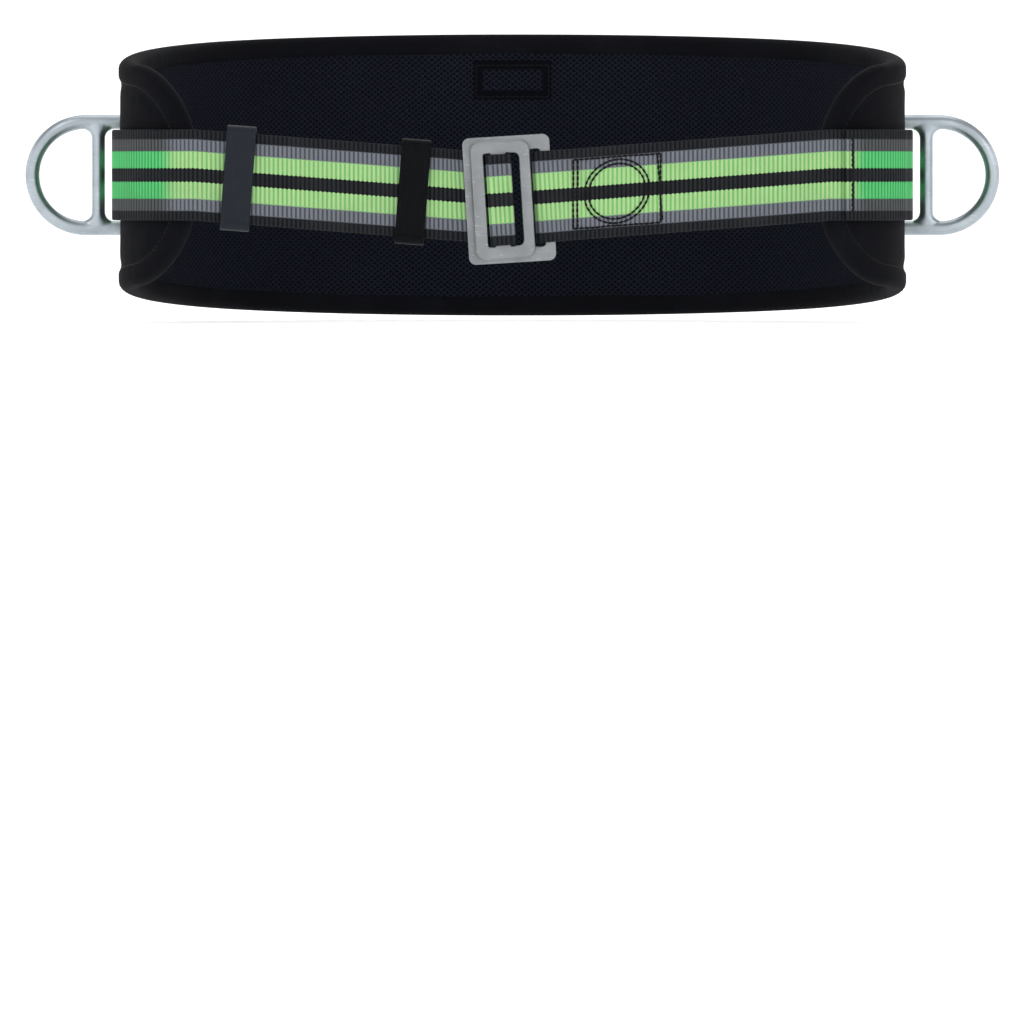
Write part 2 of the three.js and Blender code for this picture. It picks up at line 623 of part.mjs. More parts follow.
// A folded tape: flat where it is sewn to the pad, and open above, where it lies over the binding.
function hangLoop() {
  const shoulder = HANG_LOOP_BOTTOM + HANG_LOOP_SEAM;
  const outline = (inset) => {
    const back = STRAP_RISE + inset;
    const front = STRAP_RISE + HANG_LOOP_BULGE - inset;
    const top = HANG_LOOP_TOP - inset;
    const radius = (front - back) / 2;
    return { back, front, top, radius };
  };
  const outer = outline(0);
  const bendFrom = shoulder - HANG_LOOP_BEND;
  const shape = new THREE.Shape();
  shape.moveTo(outer.back, shoulder + HANG_LOOP_BEND / 2);
  shape.lineTo(GAP, bendFrom);
  shape.lineTo(GAP, HANG_LOOP_BOTTOM);
  shape.lineTo(GAP + 2 * LOOP_TAPE, HANG_LOOP_BOTTOM);
  shape.lineTo(GAP + 2 * LOOP_TAPE, bendFrom);
  shape.lineTo(outer.front, shoulder + 1.5 * HANG_LOOP_BEND);
  shape.absarc(outer.front - outer.radius, outer.top - outer.radius, outer.radius, 0, Math.PI);
  shape.closePath();
  const inner = outline(LOOP_TAPE);
  const hole = new THREE.Path();
  hole.moveTo(inner.back, shoulder);
  hole.lineTo(inner.front, shoulder + 2 * HANG_LOOP_BEND);
  hole.absarc(inner.front - inner.radius, inner.top - inner.radius, inner.radius, 0, Math.PI);
  hole.closePath();
  shape.holes.push(hole);
  return bend(alongX(shape, HANG_LOOP_WIDTH, LOOP_SECTIONS), 0);
}

// A rectangle of thread as thick as it stands proud, in the XZ plane.
function threadRectangle(width, height) {
  const line = 2 * THREAD;
  const shape = roundedRectangle(width, height, STITCH_CORNER);
  shape.holes.push(roundedRectangle(width - line, height - line, STITCH_CORNER / 2, 0, 0, THREE.Path));
  return plate(shape, THREAD_PROUD, 2);
}

// The stitched rectangle that holds the hang loop, where it shows on the lining.
function hangLoopStitching() {
  const curve = HANG_LOOP_WIDTH ** 2 / 8 / BACK_RADIUS; // how far the pad bends away across its width
  const y = BACK_DEPTH - PAD_THICKNESS - GAP - THREAD_PROUD / 2 - curve;
  const frame = threadRectangle(HANG_LOOP_WIDTH, HANG_LOOP_SEAM);
  return frame.translate(0, y, HANG_LOOP_BOTTOM + HANG_LOOP_SEAM / 2);
}

const STITCH_Y = FRONT_Y - STRAP_CENTRE - PLATE_STANDOFF - WEBBING_THICKNESS / 2 - GAP - THREAD_PROUD / 2;
const STITCH_X = BOX_STITCH_FROM + BOX_STITCH_LENGTH / 2;

function boxStitching() {
  return hang(threadRectangle(BOX_STITCH_LENGTH, BOX_STITCH_HEIGHT).translate(STITCH_X, STITCH_Y, 0));
}

function circleStitching() {
  const outer = BOX_STITCH_HEIGHT / 2 - THREAD - GAP;
  const points = (radius) => {
    const found = [];
    for (let i = 0; i < CIRCLE_SEGMENTS; i += 1) {
      const angle = (i / CIRCLE_SEGMENTS) * 2 * Math.PI;
      found.push(new THREE.Vector2(radius * Math.cos(angle), radius * Math.sin(angle)));
    }
    return found;
  };
  const shape = new THREE.Shape(points(outer));
  shape.holes.push(new THREE.Path(points(outer - 2 * THREAD)));
  return hang(plate(shape, THREAD_PROUD).translate(STITCH_X, STITCH_Y, 0));
}

// An upright row of stitches on the outer face of a strap, at an offset from the pad.
function uprightTack(distance, outerFace) {
  const bar = new THREE.BoxGeometry(2 * THREAD, THREAD_PROUD, WEBBING_WIDTH - 2 * TACK_EDGE);
  return hang(bend(bar.translate(0, outerFace + GAP + THREAD_PROUD / 2, 0), distance));
}

const group = new THREE.Group();
const buckle = new THREE.Group();
buckle.position.set(BUCKLE_X, FRONT_Y - STRAP_CENTRE, -BUCKLE_SAG);
buckle.rotation.y = -TILT;
const male = new THREE.Group();
male.position.set(MALE_SHIFT, -PLATE_THICKNESS - GAP, 0);
buckle.add(male);
group.add(buckle);

function add(name, geometry, material, parent = group) {
  const mesh = new THREE.Mesh(geometry, new THREE.MeshStandardMaterial(MATERIALS[material]));
  mesh.name = name;
  parent.add(mesh);
  return mesh;
}

let depth = 0;
for (const { name, thickness, material, inset } of PAD_LAYERS) {
  add(name, padLayer(-inset, -depth - thickness, -depth), material);
  depth += thickness + GAP;
}
add('edge_binding', edgeBinding(), 'binding');

const BELT_LOOPS = { left: -BELT_LOOP_SPACING, centre: 0, right: BELT_LOOP_SPACING };
for (const [side, distance] of Object.entries(BELT_LOOPS)) {
  add(`belt_loop_${side}`, beltLoop(distance), 'tape');
  add(`belt_loop_${side}_upper_tack`, beltLoopTack(distance, 1), 'thread');
  add(`belt_loop_${side}_lower_tack`, beltLoopTack(distance, -1), 'thread');
}
add('hang_loop', hangLoop(), 'tape');
add('hang_loop_stitching', hangLoopStitching(), 'thread');

add('main_strap', mainStrap(), 'webbing');
add('strap_tail', strapTail(), 'webbing');
add('front_right_strap', frontRightStrap(), 'webbing');
add('adjuster_wrap', adjusterWrap(), 'webbing', male);
add('box_stitching', boxStitching(), 'thread');
add('circle_stitching', circleStitching(), 'thread');
const rightFace = mainStrapRise(STRAP_END) + WEBBING_THICKNESS;
add('right_tack', uprightTack(STRAP_END - RIGHT_TACK_INSET, rightFace), 'thread');

add('female_plate', femalePlate(), 'steel', buckle);
add('male_plate', malePlate(), 'steel', male);

for (const [side, sign] of Object.entries({ left: -1, right: 1 })) {
  const ring = add(`ring_${side}`, sideRing(), 'steel');
  const hinge = beside(loopFrame(sign * RING_POSITION), HINGE_OFFSET);
  ring.position.set(hinge.x, hinge.y, 0);
  ring.rotation.z = sign < 0 ? Math.PI : 0;
}

const runSlope = Math.atan2(BUCKLE_SAG, SAG_REACH + BUCKLE_X);
const keeperY = FRONT_Y - STRAP_CENTRE + PLATE_STANDOFF + LAYER / 2;
const keeperStart = FRONT_AT - KEEPER_LENGTH / 2 - KEEPER_FRONT_OVERLAP;
const straightAt = Math.max(LEFT_TIP + DIP_LENGTH, keeperStart);
const keeperX = {
  keeper_outer: loopFrame(-straightAt - KEEPER_OUTER_GAP).x,
  keeper_inner: BUCKLE_X - FEMALE_WIDTH / 2 - KEEPER_INNER_GAP,
};
for (const [name, x] of Object.entries(keeperX)) {
  const sleeve = add(name, keeper(), 'keeper');
  sleeve.position.set(x, keeperY, -sagAt(x));
  sleeve.rotation.y = runSlope;
}

export default group;
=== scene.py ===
"""Dresses a padded work-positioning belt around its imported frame.

Pieces are worked out in millimetres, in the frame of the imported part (+Z up, the buckle at -Y), and their
meshes are turned to metres when they are made. Left and right are as seen from the front.
"""

from __future__ import annotations

import logging
import math
from dataclasses import dataclass, field
from enum import Enum
from functools import partial
from typing import Callable, Iterable, Sequence

import bmesh
import bpy
from mathutils import Matrix, Vector, noise

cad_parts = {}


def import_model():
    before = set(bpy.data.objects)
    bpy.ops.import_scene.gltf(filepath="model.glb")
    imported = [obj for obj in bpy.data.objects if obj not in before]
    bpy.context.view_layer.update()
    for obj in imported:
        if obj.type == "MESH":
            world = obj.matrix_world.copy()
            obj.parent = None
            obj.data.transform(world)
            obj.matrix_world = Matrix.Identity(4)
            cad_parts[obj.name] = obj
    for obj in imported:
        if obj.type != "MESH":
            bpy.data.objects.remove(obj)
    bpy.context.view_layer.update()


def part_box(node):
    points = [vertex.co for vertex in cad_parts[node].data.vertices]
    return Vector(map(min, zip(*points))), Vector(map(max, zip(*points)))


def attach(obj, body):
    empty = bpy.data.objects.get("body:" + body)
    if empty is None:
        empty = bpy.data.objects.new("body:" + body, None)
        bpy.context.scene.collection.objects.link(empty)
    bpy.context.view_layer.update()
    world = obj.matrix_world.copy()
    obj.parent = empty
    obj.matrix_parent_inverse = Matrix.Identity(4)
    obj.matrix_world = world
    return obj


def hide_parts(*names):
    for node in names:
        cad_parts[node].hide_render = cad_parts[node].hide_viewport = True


LOG = logging.getLogger("belt")

MM = 0.001
CLOTH_MAP = "cloth"  # the UV map of woven and knitted pieces, in millimetres
QUARTER_TURN = math.pi / 2
Z_AXIS = Vector((0, 0, 1))
Y_AXIS = Vector((0, 1, 0))
X_AXIS = Vector((1, 0, 0))

BUCKLE_X = -1.6
BUCKLE_SAG = 12.0
BUCKLE_TILT = math.radians(3.5)
GAP = 0.3  # between pieces that touch


class Body(Enum):
    """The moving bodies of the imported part."""

    BELT = "belt"
    LEFT_RING = "left_ring"
    RIGHT_RING = "right_ring"
    MALE_BUCKLE = "male_buckle"
    OUTER_KEEPER = "outer_keeper"
    INNER_KEEPER = "inner_keeper"


class Slot(Enum):
    """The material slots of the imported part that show."""

    SHELL = "shell_fabric"
    MESH = "spacer_mesh"
    BINDING = "binding_tape"
    WEBBING = "striped_webbing"
    TAPE = "black_tape"
    THREAD = "thread"
    STEEL = "satin_steel"
    PLASTIC = "black_plastic"


# Numbers and curves


def ease(value: float, low: float, high: float) -> float:
    """Rises smoothly from 0 at low to 1 at high.

    Args:
        value: Where on the rise.
        low: Where it starts.
        high: Where it ends.

    Returns:
        The height of the rise.
    """
    t = min(max((value - low) / (high - low), 0.0), 1.0)
    return t * t * (3 - 2 * t)


def hump(value: float, width: float) -> float:
    """A smooth hump of height 1 round zero, with the given half width."""
    return math.exp(-((value / width) ** 2))


def wander(x: float, y: float, seed: float = 0.0) -> float:
    """Smooth noise between about -1 and 1 that is the same each time."""
    return noise.noise(Vector((x, y, seed)))


@dataclass(frozen=True)
class Run:
    """A straight or an arc of a track, an arc's turn being clockwise, in radians."""

    length: float
    turn: float = 0.0


def arc(radius: float, degrees: float) -> Run:
    """An arc of a track, clockwise where the degrees are positive."""
    angle = math.radians(degrees)
    return Run(abs(radius * angle), angle)


@dataclass(frozen=True)
class Spot:
    """A place on a flat track, with the clockwise heading there."""

    x: float
    y: float
    heading: float

    def beside(self, offset: float) -> Vector:
        """The point at an offset to the left of the way the track is walked."""
        side = Vector((math.sin(self.heading), math.cos(self.heading), 0))
        return Vector((self.x, self.y, 0)) + offset * side


class Track:
    """A flat curve of straights and arcs, walked by distance."""

    def __init__(self, x: float, y: float, runs: Sequence[Run]) -> None:
        """Lays the runs end to end from a point, heading along +X at first."""
        self.starts: list[tuple[float, Spot, Run]] = []
        self.length = 0.0
        spot = Spot(x, y, 0.0)
        for run in runs:
            self.starts.append((self.length, spot, run))
            spot = self.along(spot, run, run.length)
            self.length += run.length

    @staticmethod
    def along(spot: Spot, run: Run, distance: float) -> Spot:
        """The place at a distance along a run.

        Args:
            spot: Where the run starts.
            run: The straight or arc.
            distance: How far along it.

        Returns:
            The place there.
        """
        if run.turn == 0:
            step_x = distance * math.cos(spot.heading)
            step_y = -distance * math.sin(spot.heading)
            return Spot(spot.x + step_x, spot.y + step_y, spot.heading)
        radius = run.length / run.turn
        heading = spot.heading + distance / radius
        step_x = radius * (math.sin(heading) - math.sin(spot.heading))
        step_y = radius * (math.cos(heading) - math.cos(spot.heading))
        return Spot(spot.x + step_x, spot.y + step_y, heading)

    def at(self, distance: float) -> Spot:
        """The place at a distance from the start, straight on past the end."""
        found = self.starts[0]
        for start in self.starts:
            if start[0] <= distance:
                found = start
        begun, spot, run = found
        return self.along(spot, run, distance - begun)

    def points(self, step: float) -> list[Vector]:
        """Points along the whole track, about a step apart."""
        count = max(2, round(self.length / step))
        spots = [self.at(self.length * i / count) for i in range(count + 1)]
        return [Vector((spot.x, spot.y, 0)) for spot in spots]


@dataclass(frozen=True)
class Loop:
    """The belt's closed loop in plan, measured on the outer face of the pad."""

    back_depth: float = 119.0
    sag_reach: float = 156.9666
    lean_from: float = 21.5
    lean_reach: float = 12.0
    track: Track = field(init=False)

    def __post_init__(self) -> None:
        """Lays one half of the loop, from the middle of the back to the straight front."""
        runs = [arc(260, 27), arc(112, 28), arc(200, 35), arc(60, 90), Run(1000)]
        object.__setattr__(self, "track", Track(0, self.back_depth, runs))

    @property
    def widest_at(self) -> float:
        """How far round its widest place is."""
        return self.track.starts[3][0]

    @property
    def front_at(self) -> float:
        """How far round the straight front starts."""
        return self.track.starts[4][0]

    def spot(self, distance: float) -> Spot:
        """The place at a distance round from the middle of the back, positive to the right."""
        spot = self.track.at(abs(distance))
        if distance < 0:
            return Spot(-spot.x, spot.y, -spot.heading)
        return spot

    @property
    def front_y(self) -> float:
        """Where the straight front lies."""
        return self.track.at(self.front_at).y

    def front_distance(self, x: float) -> float:
        """The distance round to a place on the straight front, on its own side."""
        return math.copysign(self.front_at + self.track.at(self.front_at).x - abs(x), x)

    def place(self, flat: Vector) -> Vector:
        """Bends a point round the loop.

        Args:
            flat: Its distance round, its offset outwards and its height.

        Returns:
            The point in the belt.
        """
        bent = self.spot(flat.x).beside(flat.y)
        bent.z = flat.z
        return bent

    def sag(self, x: float) -> float:
        """How far the front run hangs below the level of the rest."""
        side = math.copysign(1.0, x - BUCKLE_X)
        span = self.sag_reach - side * BUCKLE_X
        return BUCKLE_SAG * max(0.0, 1 - abs(x - BUCKLE_X) / span)

    def hang(self, point: Vector) -> Vector:
        """Lets a point of the front run sag, and lean with the buckle near it."""
        if point.y > 0 or abs(point.x) > self.sag_reach:
            return point
        lean = 1 - ease(abs(point.x - BUCKLE_X) - self.lean_from, 0, self.lean_reach)
        x = point.x - lean * math.sin(BUCKLE_TILT) * point.z
        return Vector((x, point.y, point.z - self.sag(point.x)))


LOOP = Loop()


# Meshes


@dataclass(frozen=True)
class Station:
    """One cross-section of a swept piece.

    Attributes:
        middle: Its middle.
        across: Its direction across, which is as long as the section is stretched.
        out: Its direction outwards, which is as long as the section is thickened.
        run: The distance walked to it.
    """

    middle: Vector
    across: Vector
    out: Vector
    run: float

    def point(self, across: float, out: float) -> Vector:
        """A point of the section."""
        return self.middle + across * self.across + out * self.out


def follow(
    points: Sequence[Vector],
    step: float,
    across: Vector = Z_AXIS,
    relief: Callable[[float], float] = lambda run: 1.0,
) -> list[Station]:
    """Spaces stations evenly along a line of points.

    Args:
        points: The line, closely spaced.
        step: The distance between stations.
        across: The direction across, the same at them all.
        relief: How thick the section is at a distance along, as a share.

    Returns:
        The stations.
    """
    walked = [0.0]
    for before, after in zip(points, points[1:]):
        walked.append(walked[-1] + (after - before).length)
    count = max(2, round(walked[-1] / step))
    middles = []
    segment = 0
    for i in range(count + 1):
        run = walked[-1] * i / count
        while segment < len(points) - 2 and walked[segment + 1] < run:
            segment += 1
        share = (run - walked[segment]) / max(walked[segment + 1] - walked[segment], 1e-9)
        middles.append(points[segment].lerp(points[segment + 1], share))
    closed = (points[0] - points[-1]).length < 1e-3
    stations = []
    for i, middle in enumerate(middles):
        run = walked[-1] * i / count
        ahead = middles[i + 1] if i < count else middles[1 if closed else count]
        behind = middles[i - 1] if i > 0 else middles[count - 1 if closed else 0]
        out = across.cross(ahead - behind).normalized()
        stations.append(Station(middle, across, out * relief(run), run))
    return stations


Outline = Sequence[tuple[float, float]]


def sweep(stations: Sequence[Station], outline: Outline, by_length: bool = False) -> bmesh.types.BMesh:
    """Carries a closed outline through stations.

    Args:
        stations: The cross-sections in order; the piece is a ring where the first is also the last.
        outline: The section as (across, out) points, anticlockwise.
        by_length: Whether the cloth map follows the outline's length, and not its across value.

    Returns:
        The skin, capped where it isn't a ring.
    """
    mesh = bmesh.new()
    layer = mesh.loops.layers.uv.new(CLOTH_MAP)
    along, around = len(stations) - 1, len(outline)
    bmesh.ops.create_grid(mesh, x_segments=along, y_segments=around, size=0.5)
    lengths = [0.0]
    for i in range(around):
        here, following = outline[i], outline[(i + 1) % around]
        lengths.append(lengths[-1] + math.dist(here, following))
    for vert in mesh.verts:
        i = round((vert.co.x + 0.5) * along)
        j = round((vert.co.y + 0.5) * around)
        across, out = outline[j % around]
        for loop in vert.link_loops:
            loop[layer].uv = (stations[i].run, lengths[j] if by_length else across)
        vert.co = stations[i].point(across, out)
    bmesh.ops.remove_doubles(mesh, verts=mesh.verts, dist=1e-4)
    rims = [edge for edge in mesh.edges if edge.is_boundary]
    if rims:
        caps = bmesh.ops.holes_fill(mesh, edges=rims, sides=0)["faces"]
        for loop in (loop for cap in caps for loop in cap.loops):
            other = next((o for o in loop.vert.link_loops if o.face not in caps), loop)
            loop[layer].uv = other[layer].uv
    return mesh


def slab(width: float, thickness: float, corner: float, flats: int = 6) -> list[tuple[float, float]]:
    """The section of a tape with rounded edges, anticlockwise.

    Args:
        width: From edge to edge.
        thickness: From face to face.
        corner: Radius of the edges.
        flats: How many parts each face has.

    Returns:
        Its (across, out) points.
    """
    a, b = width / 2 - corner, thickness / 2 - corner
    points = []
    for k, (x, y) in enumerate(((a, b), (-a, b), (-a, -b), (a, -b))):
        for i in range(4):
            angle = (k + i / 3) * QUARTER_TURN
            points.append((x + corner * math.cos(angle), y + corner * math.sin(angle)))
        if k % 2 == 0:
            inner = [a - 2 * a * i / flats for i in range(1, flats)]
            sign = 1 if k == 0 else -1
            points.extend((sign * value, sign * thickness / 2) for value in inner)
    return points


def move(mesh: bmesh.types.BMesh, place: Callable[[Vector], Vector]) -> bmesh.types.BMesh:
    """Moves every point of a mesh to where a rule puts it."""
    for vert in mesh.verts:
        vert.co = place(vert.co.copy())
    return mesh


def add_mesh(whole: bmesh.types.BMesh, part: bmesh.types.BMesh) -> None:
    """Adds a mesh to another, and frees it."""
    data = bpy.data.meshes.new("part")
    part.to_mesh(data)
    part.free()
    whole.from_mesh(data)
    bpy.data.meshes.remove(data)


def lay_cloth(mesh: bmesh.types.BMesh) -> None:
    """Gives a flat-worked mesh its cloth map, from its distance round and its height."""
    layer = mesh.loops.layers.uv.verify()
    for face in mesh.faces:
        for loop in face.loops:
            loop[layer].uv = (loop.vert.co.x, loop.vert.co.z)


def finish_piece(
    mesh: bmesh.types.BMesh,
    name: str,
    material: bpy.types.Material,
    slot: Slot,
    body: Body = Body.BELT,
    nodes: Iterable[str] = (),
    crease: float = 35.0,
) -> bpy.types.Object:
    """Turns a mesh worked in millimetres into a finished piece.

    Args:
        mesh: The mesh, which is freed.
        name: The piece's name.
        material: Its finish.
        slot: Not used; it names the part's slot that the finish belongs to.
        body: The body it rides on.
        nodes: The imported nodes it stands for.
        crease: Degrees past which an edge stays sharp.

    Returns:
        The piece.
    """
    bmesh.ops.scale(mesh, vec=(MM, MM, MM), verts=mesh.verts)
    bmesh.ops.recalc_face_normals(mesh, faces=mesh.faces)
    data = bpy.data.meshes.new(name)
    mesh.to_mesh(data)
    mesh.free()
    data.polygons.foreach_set("use_smooth", [True] * len(data.polygons))
    data.set_sharp_from_angle(angle=math.radians(crease))
    piece = bpy.data.objects.new(name, data)
    bpy.context.scene.collection.objects.link(piece)
    data.materials.append(material)
    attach(piece, body.value)
    if nodes:
        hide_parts(*nodes)
    LOG.info("%s: %d faces", name, len(data.polygons))
    return piece


def box_middle(node: str) -> Vector:
    """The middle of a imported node's box, in millimetres."""
    low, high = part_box(node)
    return (low + high) / 2 / MM


# Shader nodes


class Value:
    """A number that changes over a surface, with the usual arithmetic."""

    def __init__(self, board: "Board", socket: bpy.types.NodeSocket) -> None:
        """Wraps an output socket of a board."""
        self.board = board
        self.socket = socket

    def __add__(self, other: "Value | float") -> "Value":
        """This plus the other."""
        return self.board.maths("ADD", self, other)

    def __radd__(self, other: float) -> "Value":
        """The other plus this."""
        return self.board.maths("ADD", other, self)

    def __sub__(self, other: "Value | float") -> "Value":
        """This less the other."""
        return self.board.maths("SUBTRACT", self, other)

    def __rsub__(self, other: float) -> "Value":
        """The other less this."""
        return self.board.maths("SUBTRACT", other, self)

    def __mul__(self, other: "Value | float") -> "Value":
        """This times the other."""
        return self.board.maths("MULTIPLY", self, other)

    def __rmul__(self, other: float) -> "Value":
        """The other times this."""
        return self.board.maths("MULTIPLY", other, self)

    def __pow__(self, other: float) -> "Value":
        """This to a power."""
        return self.board.maths("POWER", self, other)

    def __abs__(self) -> "Value":
        """This without its sign."""
        return self.board.maths("ABSOLUTE", self)

    def wave(self, pitch: float, shift: "Value | float" = 0.0) -> "Value":
        """A wave between 0 and 1 with a pitch, at its top where this is zero."""
        turned = (self + shift) * (2 * math.pi / pitch)
        return self.board.maths("COSINE", turned) * 0.5 + 0.5

    def rise(self, at: float, width: float) -> "Value":
        """A ramp from 0 to 1 round a value, over a width."""
        settings = {"interpolation_type": "SMOOTHSTEP"}
        sockets = {"Value": self, "From Min": at - width / 2, "From Max": at + width / 2}
        return self.board.value(self.board.node("ShaderNodeMapRange", settings, sockets), "Result")

    def most(self, other: "Value | float") -> "Value":
        """The larger of this and the other."""
        return self.board.maths("MAXIMUM", self, other)


Colour = tuple[float, float, float]
Place = tuple[float, float, float]
MIX_FACTOR, MIX_A, MIX_B, MIX_RESULT = 0, 6, 7, 2  # the sockets of a colour Mix node


class Board:
    """A material's nodes."""

    def __init__(self, name: str) -> None:
        """Starts a material with no nodes."""
        self.material = bpy.data.materials.new(name)
        self.material.use_nodes = True
        self.tree = self.material.node_tree
        self.tree.nodes.clear()

    def node(self, kind: str, settings: dict | None = None, sockets: dict | None = None) -> bpy.types.Node:
        """Adds a node.

        Args:
            kind: Its type.
            settings: Its properties, set first.
            sockets: Values, or links from other nodes, of its sockets by name or number.

        Returns:
            The node.
        """
        made = self.tree.nodes.new(kind)
        for key, setting in (settings or {}).items():
            setattr(made, key, setting)
        for key, given in (sockets or {}).items():
            socket = made.inputs[key]
            if isinstance(given, Value):
                self.tree.links.new(given.socket, socket)
            elif socket.type == "RGBA":
                socket.default_value = (*given, 1.0)
            else:
                socket.default_value = given
        return made

    def value(self, node: bpy.types.Node, output: str | int = 0) -> Value:
        """An output of a node."""
        return Value(self, node.outputs[output])

    def maths(self, operation: str, *terms: Value | float) -> Value:
        """Works out one operation on values and numbers."""
        sockets = dict(enumerate(terms))
        return self.value(self.node("ShaderNodeMath", {"operation": operation}, sockets))

    def cloth(self) -> tuple[Value, Value]:
        """How far a point is along and across its cloth, in millimetres."""
        cloth_map = self.node("ShaderNodeUVMap", {"uv_map": CLOTH_MAP})
        parts = self.node("ShaderNodeSeparateXYZ", None, {"Vector": self.value(cloth_map, "UV")})
        return self.value(parts, "X"), self.value(parts, "Y")

    def place(self, axis: str) -> Value:
        """How far a point is along one of the belt's axes, in millimetres."""
        coordinates = self.node("ShaderNodeTexCoord")
        parts = self.node("ShaderNodeSeparateXYZ", None, {"Vector": self.value(coordinates, "Object")})
        return self.value(parts, axis) * (1 / MM)

    def noise(self, size: float, detail: float = 3.0, stretch: Colour = (1, 1, 1)) -> Value:
        """Noise between 0 and 1, with features of a size in millimetres.

        Args:
            size: How large its features are.
            detail: How many finer layers it has.
            stretch: How much finer it is along each axis.

        Returns:
            The noise.
        """
        place = self.value(self.node("ShaderNodeTexCoord"), "Object")
        mapping = self.node("ShaderNodeMapping", None, {"Vector": place, "Scale": stretch})
        sockets = {"Vector": self.value(mapping), "Scale": 1 / (size * MM), "Detail": detail}
        return self.value(self.node("ShaderNodeTexNoise", None, sockets), 0)

    def mix(self, factor: Value | float, first: Value | Colour, second: Value | Colour) -> Value:
        """Mixes two colours."""
        sockets = {MIX_FACTOR: factor, MIX_A: first, MIX_B: second}
        return self.value(self.node("ShaderNodeMix", {"data_type": "RGBA"}, sockets), MIX_RESULT)

    def bump(self, height: Value, depth: float, strength: float = 1.0) -> Value:
        """A normal from a height between 0 and 1, of a depth in millimetres."""
        sockets = {"Height": height, "Distance": depth * MM, "Strength": strength}
        return self.value(self.node("ShaderNodeBump", None, sockets))

    def close(
        self,
        colour: Value,
        roughness: Value | float,
        normal: Value,
        **constants: float,
    ) -> bpy.types.Material:
        """Joins everything to the surface.

        Args:
            colour: Its colour.
            roughness: Its roughness.
            normal: Its normal.
            constants: Other sockets of the surface, with spaces as underscores.

        Returns:
            The material.
        """
        sockets = {"Base Color": colour, "Roughness": roughness, "Normal": normal}
        sockets.update({key.replace("_", " "): given for key, given in constants.items()})
        surface = self.value(self.node("ShaderNodeBsdfPrincipled", None, sockets))
        self.node("ShaderNodeOutputMaterial", None, {"Surface": surface})
        return self.material


@dataclass(frozen=True)
class StripedWebbing:
    """Ribbed webbing, black with two green and two grey stripes that mirror about the middle.

    Attributes:
        rib: Pitch of the ribs.
        yarn: Pitch of the yarns that float over them.
        green_from: Where the green starts, from the middle.
        green_to: Where it ends and the grey starts.
        grey_to: Where the grey ends.
        front: How far from the middle the webbing is painted paler where it faces forward, as painted light.
        back: How far back it is painted paler; past either limit it takes the darker side colours, as painted
            shade.
    """

    rib: float = 2.2
    yarn: float = 0.62
    green_from: float = 3.4
    green_to: float = 11.7
    grey_to: float = 17.7
    front: float = 170.0
    back: float = -60.0
    # green and grey are the front colours, painted paler as painted light; the side copies below each are painted
    # darker, as painted shade.
    green: tuple[Colour, Colour] = ((0.165, 0.41, 0.125), (0.37, 0.575, 0.26))
    shaded_side_green: tuple[Colour, Colour] = ((0.035, 0.31, 0.085), (0.1, 0.5, 0.165))
    grey: tuple[Colour, Colour] = ((0.06, 0.066, 0.078), (0.165, 0.178, 0.21))
    shaded_side_grey: tuple[Colour, Colour] = ((0.03, 0.033, 0.034), (0.08, 0.086, 0.09))
    black: tuple[Colour, Colour] = ((0.003, 0.0035, 0.005), (0.015, 0.017, 0.02))

    def build(self) -> bpy.types.Material:
        """Makes the finish, each colour painted darker in the grooves than on the ribs, as painted shade and
        painted light.
        """
        board = Board("webbing_finish")
        along, across = board.cloth()
        patch = board.noise(1.1)
        crest = along.wave(self.rib)
        # lit paints the rib crests lighter and the grooves darker, as painted light and shade, with a little
        # random patchiness.
        lit = crest.rise(0.4, 0.55) * 0.92 + patch * 0.3 - 0.13
        edge = abs(across) + (crest - 0.5) * 0.4 + (patch - 0.5) * 0.3
        colour = board.mix(lit, *self.black)
        # side picks the darker side colours on the sides and back, as painted shade, and the paler front colours,
        # as painted light.
        side = abs(board.place("X")).rise(self.front, 10)
        side = side.most(board.place("Y").rise(self.back, 20))
        green = board.mix(side, board.mix(lit, *self.green), board.mix(lit, *self.shaded_side_green))
        grey = board.mix(side, board.mix(lit, *self.grey), board.mix(lit, *self.shaded_side_grey))
        colour = board.mix(edge.rise(self.green_from, 0.25), colour, green)
        colour = board.mix(edge.rise(self.green_to, 0.25), colour, grey)
        colour = board.mix(edge.rise(self.grey_to, 0.25), colour, board.mix(lit, *self.black))
        yarns = across.wave(self.yarn, crest * 0.2)
        soil = board.noise(26, 2)
        colour = board.mix((soil.rise(0.62, 0.4)) * 0.16, colour, (0.05, 0.052, 0.05))
        height = crest * 0.55 + yarns * 0.45
        return board.close(
            colour,
            0.78 - yarns * 0.1,
            board.bump(height, 0.16, 0.9),
            Specular_IOR_Level=0.12,
        )


